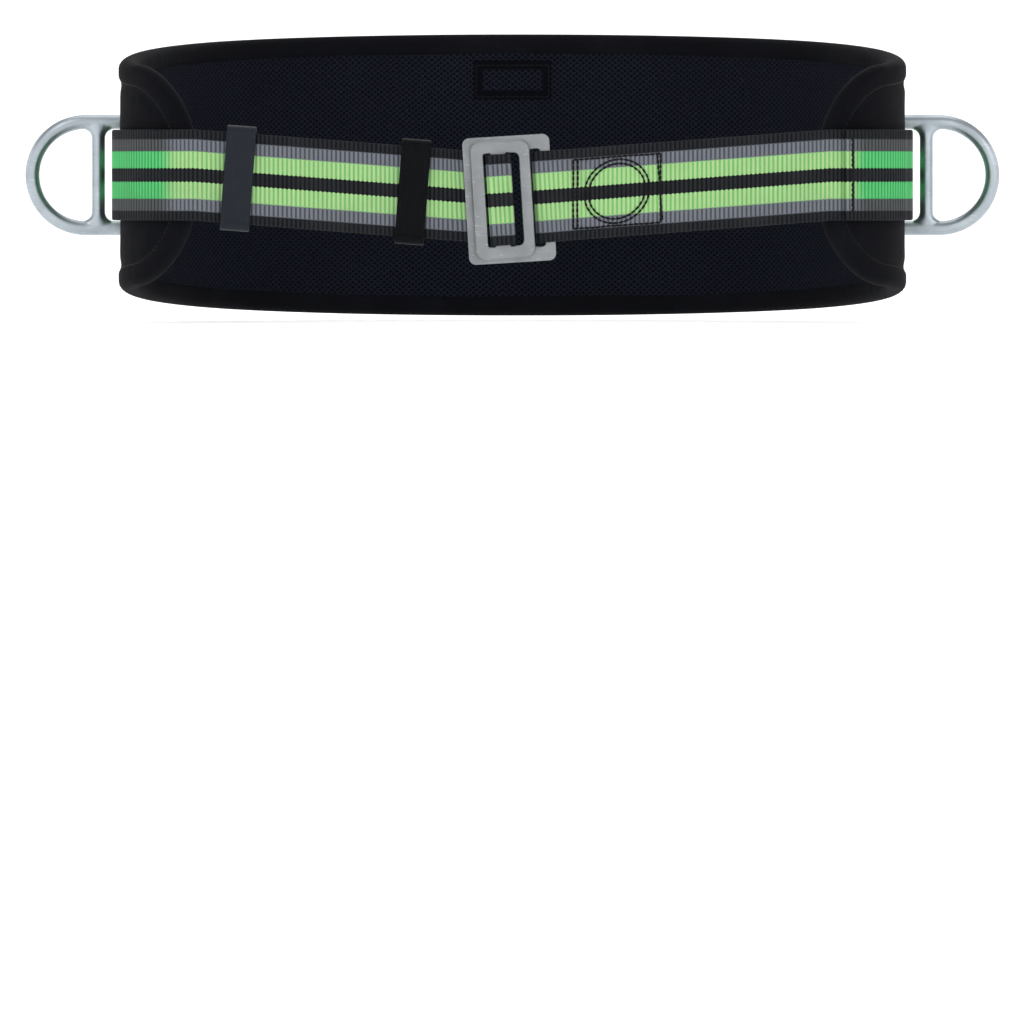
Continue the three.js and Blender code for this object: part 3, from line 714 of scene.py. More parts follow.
@dataclass(frozen=True)
class SpacerMesh:
    """Knitted spacer mesh: staggered round holes in a nearly black navy face.

    Attributes:
        columns: Pitch of the holes along.
        rows: Pitch of the holes up, every other row being staggered.
        patch: Half the length and half the height of the patch inside the hang loop's seam.
        patch_at: The height of its middle.
        pressed: How wide the flattened border round the patch is; it is painted in the holes' dark colour, as
            painted shade along the seam's groove.
    """

    columns: float = 3.4
    rows: float = 2.7
    patch: tuple[float, float] = (15.5, 5.2)
    patch_at: float = 48.0
    pressed: float = 4.6
    face: Colour = (0.0045, 0.0054, 0.0105)
    light: Colour = (0.019, 0.0225, 0.04)
    # hole: the near-black colour of the holes, painted shade inside them.
    hole: Colour = (0.0008, 0.001, 0.0017)

    def build(self) -> bpy.types.Material:
        """Makes the finish, with the knit's ribs between the holes."""
        board = Board("mesh_finish")
        along, up = board.cloth()
        wobble = (board.noise(3.2, 2) - 0.5) * 0.9
        first = (along + wobble).wave(self.columns) * 2 - 1
        second = (up + wobble).wave(self.rows) * 2 - 1
        open_share = first * second
        hole = open_share.rise(0.3, 0.5)
        knit = (along + up * 0.5).wave(0.8) * (along - up * 0.5).wave(0.8)
        fuzz = board.noise(0.5, 4)
        lit = knit * 0.5 + fuzz * 0.45 + board.noise(60, 2) * 0.3 - 0.25
        colour = board.mix(lit, self.face, self.light)
        # The holes are painted near black, as painted shade inside them.
        colour = board.mix(hole, colour, self.hole)
        outside = (abs(along) - self.patch[0]).most(abs(up - self.patch_at) - self.patch[1])
        flattened = outside.rise(0.2, 0.8) * (1 - outside.rise(self.pressed, 0.8))
        # The pressed border is painted with the same near-black, as painted shade in the seam's groove.
        colour = board.mix(flattened * 0.8, colour, self.hole)
        height = ((1 - hole) * 0.75 + knit * 0.25) * (1 - flattened)
        return board.close(
            colour,
            0.85 - hole * 0.05,
            board.bump(height, 0.7, 0.9),
            Specular_IOR_Level=0.06,
        )


@dataclass(frozen=True)
class BlackCloth:
    """Matt black woven cloth.

    Attributes:
        name: The name of the finish.
        warp: Pitch of the threads along.
        weft: Pitch of the threads across.
        depth: How deep the weave is.
    """

    name: str
    warp: float
    weft: float
    depth: float
    deep: Colour = (0.0012, 0.0014, 0.0022)
    face: Colour = (0.0038, 0.0042, 0.0066)
    worn: Colour = (0.011, 0.0115, 0.0155)

    def build(self) -> bpy.types.Material:
        """Makes the finish: a plain weave that is slightly paler where it is rubbed."""
        board = Board(self.name)
        along, across = board.cloth()
        over = along.wave(2 * self.warp) * across.wave(2 * self.weft)
        under = along.wave(2 * self.warp, self.warp) * across.wave(2 * self.weft, self.weft)
        weave = over + under
        fuzz = board.noise(0.8, 4)
        rubbed = board.noise(34, 3).rise(0.6, 0.35) * fuzz
        colour = board.mix(weave * 0.6 + fuzz * 0.4, self.deep, self.face)
        colour = board.mix(rubbed * 0.5, colour, self.worn)
        return board.close(
            colour,
            0.86 - weave * 0.08,
            board.bump(weave * 0.8 + fuzz * 0.2, self.depth, 0.8),
            Specular_IOR_Level=0.07,
        )


@dataclass(frozen=True)
class SewingThread:
    """Bonded black thread with a slight shine."""

    colour: Colour = (0.001, 0.001, 0.0014)
    light: Colour = (0.008, 0.008, 0.01)

    def build(self) -> bpy.types.Material:
        """Makes the finish, with the twist of the strands."""
        board = Board("thread_finish")
        strands = board.noise(0.35, 2, (1, 1, 2.2))
        colour = board.mix(strands, self.colour, self.light)
        bump = board.bump(strands, 0.12)
        return board.close(colour, 0.62 - strands * 0.2, bump, Specular_IOR_Level=0.15)


@dataclass(frozen=True)
class PlatedSteel:
    """Zinc-plated steel, satin, with the fine grain of the plating and a little handling wear.

    Attributes:
        name: The name of the finish.
        plate: The plating's colour.
        dull: Its colour where it has dulled.
        grain: Size of the grain under the plating.
        rough: Its least roughness.
    """

    name: str
    plate: Colour
    dull: Colour
    grain: float = 1.4
    rough: float = 0.3

    def build(self) -> bpy.types.Material:
        """Makes the finish."""
        board = Board(self.name)
        bloom = board.noise(14, 4)
        grain = board.noise(self.grain, 4)
        scuffs = board.noise(5, 5, (1, 1, 7)).rise(0.66, 0.08)
        colour = board.mix(bloom.rise(0.5, 0.5) * 0.7, self.plate, self.dull)
        colour = board.mix(scuffs * 0.25, colour, (0.75, 0.76, 0.78))
        rough = self.rough + bloom * 0.12 + grain * 0.1 - scuffs * 0.06
        return board.close(colour, rough, board.bump(grain, 0.06, 0.6), Metallic=1.0)


@dataclass(frozen=True)
class MouldedPlastic:
    """Semi-gloss black plastic with fine handling marks.

    Attributes:
        name: The name of the finish.
        colour: Its colour.
        mark: Its colour where it is marked.
        shine: How strongly it mirrors.
    """

    name: str
    colour: Colour
    mark: Colour
    shine: float

    def build(self) -> bpy.types.Material:
        """Makes the finish."""
        board = Board(self.name)
        skin = board.noise(0.7, 3)
        marks = board.noise(6, 5, (9, 1, 1)).rise(0.63, 0.1)
        colour = board.mix(marks * 0.5, self.colour, self.mark)
        rough = 0.42 + skin * 0.1 + marks * 0.12
        bump = board.bump(skin, 0.05, 0.6)
        return board.close(colour, rough, bump, Specular_IOR_Level=self.shine)


class Finishes:
    """Every finish of the belt, each made once."""

    def __init__(self) -> None:
        """Makes them."""
        self.webbing = StripedWebbing().build()
        self.mesh = SpacerMesh().build()
        self.shell = BlackCloth("shell_finish", 0.45, 0.45, 0.1).build()
        self.binding = BlackCloth("binding_finish", 0.8, 0.35, 0.14).build()
        self.tape = BlackCloth("tape_finish", 1.1, 0.6, 0.2).build()
        self.thread = SewingThread().build()
        forged = PlatedSteel("forged_finish", (0.44, 0.49, 0.53), (0.3, 0.34, 0.37), 1.8, 0.24)
        self.forged = forged.build()
        stamped = PlatedSteel("stamped_finish", (0.27, 0.285, 0.295), (0.2, 0.212, 0.222), 0.9, 0.36)
        self.stamped = stamped.build()
        # worn and new are one black plastic in two tones: the outer keeper's copy is painted paler, as painted
        # light, and the inner keeper's copy painted darker, as painted shade.
        worn = MouldedPlastic("lit_keeper_finish", (0.006, 0.009, 0.0155), (0.018, 0.022, 0.03), 0.19)
        new = MouldedPlastic("shaded_keeper_finish", (0.0012, 0.0016, 0.0026), (0.006, 0.007, 0.009), 0.07)
        self.lit_keeper_plastic = worn.build()
        self.shaded_keeper_plastic = new.build()


# Sewing


@dataclass(frozen=True)
class Stitch:
    """One stitch lying on a face: its middle, the way it runs, the way the face looks, and its length."""

    middle: Vector
    along: Vector
    up: Vector
    length: float

    @classmethod
    def between(cls, first: Vector, last: Vector, up: Vector) -> "Stitch":
        """The stitch from one hole to the next."""
        return cls((first + last) / 2, (last - first).normalized(), up, (last - first).length)


@dataclass
class Sewing:
    """Rows of stitches in bonded thread."""

    thickness: float = 0.75
    sink: float = 0.1  # how far a stitch's middle is under the height it is laid at
    pitch: float = 3.0
    share: float = 0.9  # how much of the pitch a stitch fills
    batch: int = 48

    def row(self, points: Sequence[Vector], ups: Sequence[Vector]) -> list[Stitch]:
        """Stitches along a line.

        Args:
            points: The line, closely spaced.
            ups: The way its face looks at each point.

        Returns:
            The stitches.
        """
        total = sum((after - before).length for before, after in zip(points, points[1:]))
        count = max(1, round(total / self.pitch))
        made = []
        step = (len(points) - 1) / count
        for i in range(count):
            first, last = points[round(i * step)], points[round((i + 1) * step)]
            made.append(Stitch.between(first, last, ups[round((i + 0.5) * step)]))
        return made

    def outline(
        self, corners: Sequence[Vector], place: Callable[[Vector], Vector], up: Vector
    ) -> list[Stitch]:
        """Rows round the sides of a shape.

        Args:
            corners: Its corners, flat.
            place: The rule that puts a flat point where it belongs.
            up: The way its face looks.

        Returns:
            The stitches.
        """
        count = 60
        made = []
        for start, end in zip(corners, (*corners[1:], corners[0])):
            points = [place(start.lerp(end, i / count)) for i in range(count + 1)]
            made += self.row(points, [up] * len(points))
        return made

    def mesh(self, stitches: Sequence[Stitch]) -> bmesh.types.BMesh:
        """Makes every stitch a small spindle of thread."""
        whole = bmesh.new()
        for start in range(0, len(stitches), self.batch):
            part = bmesh.new()
            for stitch in stitches[start : start + self.batch]:
                side = stitch.up.cross(stitch.along).normalized()
                up = stitch.along.cross(side)
                length = stitch.length * self.share
                columns = (side * self.thickness, up * self.thickness, stitch.along * length)
                turn = Matrix([[column[i] for column in columns] for i in range(3)]).to_4x4()
                matrix = Matrix.Translation(stitch.middle - up * self.sink) @ turn
                bmesh.ops.create_uvsphere(part, u_segments=6, v_segments=6, radius=0.5, matrix=matrix)
            add_mesh(whole, part)
        return whole

    def zigzag(self, start: Vector, end: Vector, up: Vector, width: float, pitch: float) -> list[Stitch]:
        """A bar tack: close stitches that cross a line from side to side.

        Args:
            start: Where the line starts.
            end: Where it ends.
            up: The way its face looks.
            width: How far the stitches reach across.
            pitch: How far each one moves along.

        Returns:
            The stitches.
        """
        count = max(2, round((end - start).length / pitch))
        side = up.cross(end - start).normalized() * width / 2
        holes = [start.lerp(end, i / count) + (side if i % 2 else -side) for i in range(count + 1)]
        return [Stitch.between(before, after, up) for before, after in zip(holes, holes[1:])]


# The back support


@dataclass
class BackSupport:
    """The padded back support: its cloth-covered foam, mesh lining and rolled binding.

    Attributes:
        half_length: From its middle to a tip, round the loop.
        off_centre: How far it sits round to the right.
        half_height: At its middle.
        narrowing: How much lower the half height is at the widest place of the loop.
        power: How the narrowing sets in.
        tip_radius: Of its corners.
        thickness: Through all its layers.
        lining: Offset of the joint between foam and lining.
        band: How wide the sewn border is.
        binding: How far the binding reaches in from the edge.
    """

    finishes: Finishes
    half_length: float = 372.0
    off_centre: float = 3.0
    half_height: float = 70.0
    narrowing: float = 13.5
    power: float = 2.1
    tip_radius: float = 45.0
    thickness: float = 9.4
    lining: float = -7.2
    band: float = 11.6
    binding: float = 10.8
    seam_from: float = 39.5  # the hang loop's seam, up from its lower edge
    seam_to: float = 55.5
    seam_half: float = 19.0

    @property
    def middle(self) -> float:
        """The offset of its middle layer."""
        return -self.thickness / 2

    @property
    def tip_start(self) -> float:
        """How far from its middle its tips start to round."""
        return self.half_length - self.tip_radius

    def half(self, reach: float) -> float:
        """Half its height at a distance from its own middle."""
        straight = min(abs(reach), self.tip_start)
        height = self.half_height - self.narrowing * (straight / LOOP.widest_at) ** self.power
        past = min(max(abs(reach) - self.tip_start, 0.0), self.tip_radius)
        return height - self.tip_radius + math.sqrt(self.tip_radius**2 - past**2)

    def inset(self, reach: float, height: float) -> float:
        """How far a point is inside the outline."""
        past = abs(reach) - self.tip_start
        shoulder = self.half(self.tip_start) - self.tip_radius
        above = abs(height) - shoulder
        if past > 0 and above > 0:
            return self.tip_radius - math.hypot(past, above)
        to_side = self.half(reach) - abs(height)
        return min(to_side, self.half_length - abs(reach)) if past > 0 else to_side

    def squeeze(self, inset: float) -> float:
        """How much of its thickness is left at a distance inside the outline."""
        seam_depth, seam_width = 0.12, 2.4
        tuck_depth, tuck_width = 0.6, 8
        sewn = seam_depth * hump(inset - self.band, seam_width)
        tucked = tuck_depth * max(0.0, 1 - inset / tuck_width) ** 2
        return 1 - sewn - tucked

    def pucker(self, distance: float, inset: float) -> float:
        """The small ripples that the sewing draws into the cloth beside it."""
        inside_band, width = 3.5, 5.5
        near = hump(inset - self.band - inside_band, width)
        irregular = 2.4 * wander(distance / 23, inset / 30, 5)
        ripple = 0.16 * math.sin(distance * 0.82 + irregular)
        dents = 0.2 * wander(distance / 7, inset / 9, 2)
        return near * (ripple + dents)

    def rows(self, half: float, middle_rows: int = 30, edge_rows: int = 12) -> list[float]:
        """Heights for one column of points, close together by the edges."""
        edge = min(1.35 * self.band, 0.7 * half)
        outer = [half - edge * i / edge_rows for i in range(edge_rows)]
        inner = [(half - edge) * (1 - 2 * i / middle_rows) for i in range(middle_rows + 1)]
        return outer + inner + [-value for value in reversed(outer)]

    def columns(self, spacing: float = 5.0, tip_columns: int = 26) -> list[float]:
        """Distances from its own middle of the columns of points."""
        count = round(2 * self.tip_start / spacing)
        straight = [self.tip_start * (2 * i / count - 1) for i in range(count + 1)]
        near = self.seam_half + 4 + self.off_centre  # closer together by the hang loop's seam
        close = 0.8
        fine = [close * i for i in range(-round(near / close), round(near / close) + 1)]
        straight = [reach for reach in straight if abs(reach) > near + 1]
        straight = sorted(straight + fine)
        turns = [math.sin(QUARTER_TURN * i / tip_columns) for i in range(1, tip_columns + 1)]
        tip = [self.tip_start + self.tip_radius * turn for turn in turns]
        return [-value for value in reversed(tip)] + straight + tip

    def layer(
        self,
        outer: Callable[[float, float], float],
        inner: Callable[[float, float], float],
        spacing: float = 5.0,
        middle_rows: int = 30,
    ) -> bmesh.types.BMesh:
        """One closed layer of the pad.

        Args:
            outer: The offset of its outer face at a distance round and a height.
            inner: The offset of its inner face there.
            spacing: Between its columns of points.
            middle_rows: How many rows it has between its sewn borders.

        Returns:
            The layer, bent round the loop.
        """
        mesh = bmesh.new()
        mesh.loops.layers.uv.new(CLOTH_MAP)
        columns = self.columns(spacing)
        heights = [self.rows(self.half(reach), middle_rows) for reach in columns]
        along, up = len(columns) - 1, len(heights[0]) - 1
        bmesh.ops.create_grid(mesh, x_segments=along, y_segments=up, size=0.5)
        for vert in mesh.verts:
            i = round((vert.co.x + 0.5) * along)
            j = round((vert.co.y + 0.5) * up)
            vert.co = (columns[i] + self.off_centre, 0, heights[i][j])
        back = list(mesh.verts)
        bmesh.ops.extrude_face_region(mesh, geom=mesh.faces[:])
        front = set(mesh.verts) - set(back)
        lay_cloth(mesh)
        for verts, offset in ((back, outer), (front, inner)):
            for vert in verts:
                s, z = vert.co.x, vert.co.z
                vert.co = LOOP.place(Vector((s, offset(s, z), z)))
        return mesh

    def press(self, offset: float, distance: float, height: float) -> float:
        """Where an offset ends up once the pad is sewn, drawn towards its middle layer by the border."""
        inset = self.inset(distance - self.off_centre, height)
        return self.middle + (offset - self.middle) * self.squeeze(inset)

    def shell_face(self, distance: float, height: float) -> float:
        """The outer face: slack cloth over foam, drawn in along its border."""
        inset = self.inset(distance - self.off_centre, height)
        slack = 0.3 * wander(distance / 46, height / 30) - 0.25
        return self.press(slack + self.pucker(distance, inset), distance, height)

    def lining_face(self, distance: float, height: float) -> float:
        """The inner face, with a groove where the hang loop is sewn through."""
        inset = self.inset(distance - self.off_centre, height)
        outside_u = abs(distance) - self.seam_half
        seam_half_height = (self.seam_to - self.seam_from) / 2
        outside_v = abs(height - self.seam_from - seam_half_height) - seam_half_height
        groove_depth, groove_width = 1.6, 2.6
        seam = groove_depth * hump(max(outside_u, outside_v), groove_width)
        slack = 0.25 * wander(distance / 38, height / 26, 9)
        offset = seam - self.thickness + slack - self.pucker(distance, inset)
        return self.press(offset, distance, height)

    def rim(self, spacing: float = 1.0) -> list[Vector]:
        """Points round the outline, closely spaced, clockwise from the left as seen from outside."""
        columns = self.columns(spacing, 60)
        upper = [Vector((reach, 0, self.half(reach))) for reach in columns]
        lower = [Vector((point.x, 0, -point.z)) for point in reversed(upper)]
        shift = Vector((self.off_centre, self.middle, 0))
        return [point + shift for point in (*upper, *lower, upper[0])]

    def cover(self, inset: float) -> float:
        """How far the binding's face is from the middle layer, at a distance in from the edge."""
        proud, lip_drop, lip_width = 0.45, 1.5, 3.8
        full = self.thickness / 2 + proud
        turn_at, overhang = 3.2, 4.4
        if inset < turn_at:
            share = (turn_at - inset) / overhang
            return full * math.sqrt(max(0.0, 1 - share**2))
        return full - lip_drop * ease(inset, self.binding - lip_width, self.binding)

    def binding_outline(self) -> list[tuple[float, float]]:
        """The binding's section: a rolled tape with the lips of both its edges sewn down."""
        wall = 0.9
        near_edge = (-1.19, -1.1, -0.8, -0.3, 0.5, 1.6, 3.2)
        insets = [*near_edge, 4.8, 6.2, 7.2, 8.2, 9.2, 10.1, self.binding]
        upper = [(inset, self.cover(inset)) for inset in insets]
        face = [*reversed(upper), *((inset, -out) for inset, out in upper)]
        inner = []
        for inset, out in reversed(face):
            pull = max(0.0, 1 - inset / 3.2)
            thinned = math.copysign(max(abs(out) - wall, 0.2), out)
            inner.append((inset + wall * min(pull, 1.0), thinned))
        return face + inner

    def binding_stations(self, step: float = 2.6) -> list[Station]:
        """The binding's sections round the outline, before they are bent round the loop."""
        stations = follow(self.rim(), step, Y_AXIS)
        turned = []
        for station in stations:
            ripple = 1 + 0.02 * wander(station.run / 6, 0, 3) + 0.012 * math.sin(station.run * 0.8)
            turned.append(Station(station.middle, station.out, Y_AXIS * ripple, station.run))
        return turned

    def edge_seams(self, sewing: Sewing) -> list[Stitch]:
        """The seams that hold the binding, one on each face."""
        inset = self.binding - 1.7
        found = []
        for side in (1, -1):
            points, ups = [], []
            for station in self.binding_stations(1.0):
                flat = station.point(inset, side * self.cover(inset))
                points.append(LOOP.place(flat))
                ups.append(LOOP.place(flat + Y_AXIS * side) - points[-1])
            found += sewing.row(points, ups)
        return found

    def seam_rectangle(self, sewing: Sewing) -> list[Stitch]:
        """The stitched rectangle that holds the hang loop, where it shows on the lining."""
        half, low, high = self.seam_half, self.seam_from, self.seam_to
        corners = [Vector((x, 0, z)) for x, z in ((-half, low), (half, low), (half, high), (-half, high))]
        return sewing.outline(corners, self.on_lining, -Y_AXIS)

    def on_lining(self, flat: Vector) -> Vector:
        """Puts a flat point just off the lining."""
        return LOOP.place(Vector((flat.x, self.lining_face(flat.x, flat.z) - 0.1, flat.z)))

    def joint(self, distance: float, height: float, under: float = 0.0) -> float:
        """The offset of the joint between the foam and the lining, or of a face just under it."""
        return self.press(self.lining - under, distance, height)

    def build(self) -> None:
        """Makes the pad, its lining, its binding and their seams."""
        pad = finish_piece(
            self.layer(self.shell_face, self.joint),
            "back_pad",
            self.finishes.shell,
            Slot.SHELL,
            nodes=("pad_outer_shell", "pad_stiffener", "pad_foam"),
        )
        lining = self.layer(partial(self.joint, under=0.15), self.lining_face, 4.0, 100)
        finish_piece(lining, "mesh_lining", self.finishes.mesh, Slot.MESH, nodes=("pad_lining",))
        binding = move(sweep(self.binding_stations(), self.binding_outline(), True), LOOP.place)
        nodes = ("edge_binding",)
        finish_piece(binding, "rolled_binding", self.finishes.binding, Slot.BINDING, nodes=nodes)
        sewing = Sewing(thickness=0.6, pitch=3.4)
        thread = self.finishes.thread
        finish_piece(sewing.mesh(self.edge_seams(sewing)), "binding_seams", thread, Slot.THREAD)
        square = sewing.mesh(self.seam_rectangle(Sewing(pitch=2.4)))
        nodes = ("hang_loop_stitching",)
        finish_piece(square, "hang_loop_square", thread, Slot.THREAD, nodes=nodes)


# The loops on the back


@dataclass
class BackLoops:
    """Tape loops on the back of the pad: three over the strap, and one to hang the belt by."""

    finishes: Finishes
    names: tuple[tuple[str, float], ...] = (("left", -100.0), ("centre", 0.0), ("right", 100.0))
    length: float = 40.0
    tape: float = 1.5
    reach: float = 36.5
    foot: float = 30.5  # height of the middle of a foot
    strap_edge: float = 23.2
    strap_face: float = 4.1
    hang_width: float = 38.0
    hang_bottom: float = 39.5
    hang_seam: float = 55.5
    hang_top: float = 69.5

    def lap(self) -> list[Vector]:
        """The middle of a belt loop's tape, from its lower foot over the strap to its upper one."""
        foot = GAP + self.tape / 2
        top = self.strap_face + self.tape / 2 + 0.1
        points = []
        for i in range(241):
            z = self.reach * (i / 120 - 1)
            rise = 1 - ease(abs(z), self.strap_edge - 0.6, self.strap_edge + 3.2)
            crown = 0.5 * (1 - (z / self.strap_edge) ** 2) if abs(z) < self.strap_edge else 0.0
            points.append(Vector((0, foot + (top + crown - foot) * rise, z)))
        return points

    @staticmethod
    def weave(run: float) -> float:
        """The tape's thickness at a distance along, which its weave changes."""
        pitch, depth = 1.6, 0.05
        return 1 + depth * math.cos(run * 2 * math.pi / pitch)

    def tape_mesh(self, points: Sequence[Vector], width: float, distance: float) -> bmesh.types.BMesh:
        """A tape along a line of offsets and heights, bent round the loop.

        Args:
            points: Its middle line.
            width: From edge to edge.
            distance: Where on the loop its middle is.

        Returns:
            The tape.
        """
        stations = follow(points, 0.4, -X_AXIS, self.weave)
        mesh = sweep(stations, slab(width, self.tape, self.tape * 0.4, 8))
        shift = Vector((distance, 0, 0))
        return move(mesh, lambda point: LOOP.place(point + shift))

    def tack(self, distance: float, height: float, sewing: Sewing) -> list[Stitch]:
        """A bar tack across a foot of a belt loop."""
        face = GAP + self.tape
        half = self.length / 2 - 3
        spots = [Vector((distance + half * (i / 4 - 1), face, height)) for i in range(9)]
        bent = [LOOP.place(spot) for spot in spots]
        made = []
        for start, end in zip(bent, bent[1:]):
            up = Z_AXIS.cross(start - end).normalized()
            made += sewing.zigzag(start, end, up, 1.9, 0.75)
        return made

    def hanger(self) -> list[Vector]:
        """The middle of the hang loop's tape: up the pad, over at the top and down to the seam again."""
        low = GAP + self.tape / 2
        high = low + self.tape + 0.1
        back = 2.45
        bend = 3.65
        top = self.hang_top - bend - self.tape / 2
        seam = self.hang_seam - 3
        points = [Vector((0, low, self.hang_bottom)), Vector((0, low, seam))]
        for i in range(1, 9):
            share = i / 8
            points.append(Vector((0, low + (back - low) * ease(share, 0, 1), seam + 5 * share)))
        for i in range(17):
            angle = math.pi * (1 - i / 16)
            y = back + bend + bend * math.cos(angle)
            points.append(Vector((0, y, top + bend * math.sin(angle))))
        front = back + 2 * bend
        for i in range(1, 17):
            share = i / 16
            y = front + (high - front) * ease(share, 0, 1)
            points.append(Vector((0, y, top - (top - seam) * share)))
        points.append(Vector((0, high, self.hang_bottom)))
        return points

    def build(self) -> None:
        """Makes the loops and their sewing."""
        sewing = Sewing(thickness=0.62, share=1.05)
        for name, distance in self.names:
            mesh = self.tape_mesh(self.lap(), self.length, distance)
            title = f"belt_loop_{name}"
            finish_piece(mesh, f"tape_loop_{name}", self.finishes.tape, Slot.TAPE, nodes=(title,))
            stitches = self.tack(distance, self.foot, sewing)
            stitches += self.tack(distance, -self.foot, sewing)
            nodes = (f"{title}_upper_tack", f"{title}_lower_tack")
            tacks = sewing.mesh(stitches)
            finish_piece(tacks, f"tape_loop_tacks_{name}", self.finishes.thread, Slot.THREAD, nodes=nodes)
        hanger = self.tape_mesh(self.hanger(), self.hang_width, 0)
        finish_piece(hanger, "hanging_loop", self.finishes.tape, Slot.TAPE, nodes=("hang_loop",))
        self.hanger_seam()

    def hanger_seam(self) -> None:
        """Makes the stitched rectangle on the outside of the hang loop."""
        sewing = Sewing(thickness=0.6, pitch=2.4)
        face = GAP + 2 * self.tape + 0.15
        half = self.hang_width / 2 - 2.5
        low, high = self.hang_bottom + 1.8, self.hang_seam - 4.5
        corners = [Vector((x, face, z)) for x, z in ((-half, low), (half, low), (half, high), (-half, high))]
        made = sewing.outline(corners, LOOP.place, Y_AXIS)
        finish_piece(sewing.mesh(made), "hanging_loop_seam", self.finishes.thread, Slot.THREAD)


# The straps


@dataclass
class Straps:
    """The striped webbing: the main strap, its tail, the right strap and the turn round the buckle's bar."""

    finishes: Finishes
    width: float = 45.0
    thickness: float = 2.2
    rib: float = 2.2
    samples: int = 4  # sections to a rib
    rib_depth: float = 0.32  # as a share of the thickness
    rise: float = 1.6  # inner face above the pad
    standoff: float = 3.4  # from a plate's middle to webbing on it
    layer: float = 2.5
    ring_at: float = 239.0
    ring_lift: float = 5.8
    left_tip: float = 371.3
    right_tip: float = 377.3
    dip: float = 18.0
    strap_end: float = 366.0
    overlap: float = 38.0
    front_end: float = -13.3
    tail: float = 54.0
    bar_left: float = 14.9  # inner edge of the female plate's right bar
    bar_right: float = 19.9
    level_from: float = 33.0
    return_end: float = 77.0

    @property
    def centre(self) -> float:
        """The offset of the strap's middle."""
        return self.rise + self.thickness / 2

    def relief(self, run: float) -> float:
        """The thickness at a distance along, which the ribs change."""
        crest = 0.5 + 0.5 * math.cos(2 * math.pi * run / self.rib)
        return 1 - self.rib_depth * (1 - crest**0.7)

    def webbing(self, points: Sequence[Vector]) -> bmesh.types.BMesh:
        """Webbing along a line in plan, standing on edge."""
        stations = follow(points, self.rib / self.samples, Z_AXIS, self.relief)
        return sweep(stations, slab(self.width, self.thickness, self.thickness * 0.45))

    def main_offset(self, s: float) -> float:
        """The offset of the main strap's middle: over the rings' bars, on to the right strap, in at the buckle."""
        lift = self.ring_lift * hump(abs(s) - self.ring_at, 22)
        over = self.strap_end - self.overlap - GAP
        climb = self.layer * ease(s, over - 10, over)
        inward = self.standoff * ease(-s, self.left_tip, self.left_tip + self.dip)
        return self.centre + lift + climb - inward

    def round_loop(self, start: float, end: float, offset: Callable[[float], float]) -> list[Vector]:
        """Points round the loop between two distances, at an offset that changes.

        Args:
            start: The first distance.
            end: The last one.
            offset: The offset at a distance.

        Returns:
            The points in plan.
        """
        count = max(2, round(abs(end - start)))
        distances = [start + (end - start) * i / count for i in range(count + 1)]
        return [LOOP.spot(s).beside(offset(s)) for s in distances]

    def right_offset(self, s: float) -> float:
        """The offset of the right strap's middle, which stands off the pad past its tip."""
        return self.centre + self.standoff * ease(s, self.right_tip, self.right_tip + self.dip)

    def tail_offset(self, s: float) -> float:
        """The offset of the tail's middle, the same all along it."""
        return self.centre - self.standoff - self.layer

    def right_line(self) -> list[Vector]:
        """The right strap's middle: out from under the main strap, round the plate's bar and back behind."""
        front = self.centre + self.standoff
        start = self.strap_end - self.overlap
        points = self.round_loop(start, LOOP.front_distance(self.bar_left), self.right_offset)
        for i in range(1, 17):
            angle = math.pi * i / 16
            x = self.bar_left - self.standoff * math.sin(angle)
            back = self.standoff * (1 - math.cos(angle))
            points.append(Vector((x, LOOP.front_y - front + back, 0)))
        count = 60
        for i in range(1, count + 1):
            x = self.bar_left + (self.return_end - self.bar_left) * i / count
            join = ease(x, self.bar_right, self.level_from)
            centre = front - 2 * self.standoff + (2 * self.standoff - self.layer) * join
            points.append(Vector((x, LOOP.front_y - centre, 0)))
        return points

    def wrap_line(self) -> list[Vector]:
        """The turn round the male plate's middle bar, in that plate's own frame."""
        fold = 1.4
        turn = 90
        track = Track(-8.15, 7.7, [
            Run(0.6),
            arc(fold, turn),
            Run(8.3),
            arc(fold, -turn),
            Run(7.5),
            arc(fold, -turn),
            Run(10.8),
            arc(fold, -turn),
            Run(10.9),
        ])
        return track.points(0.25)

    def build(self) -> None:
        """Makes the four pieces of webbing."""
        start = LOOP.front_distance(self.front_end)
        main = self.round_loop(start, self.strap_end, self.main_offset)
        tail = self.round_loop(start, start + self.tail, self.tail_offset)
        lines = {"main_strap": main, "strap_tail": tail, "front_right_strap": self.right_line()}
        for node, points in lines.items():
            mesh = move(self.webbing(points), LOOP.hang)
            finish = self.finishes.webbing
            finish_piece(mesh, f"{node}_webbing", finish, Slot.WEBBING, nodes=(node,))
        mesh = self.webbing(self.wrap_line())
        mesh.transform(Buckle.matrix("male_plate"))
        body = Body.MALE_BUCKLE
        nodes = ("adjuster_wrap",)
        finish_piece(mesh, "bar_turn_webbing", self.finishes.webbing, Slot.WEBBING, body, nodes)


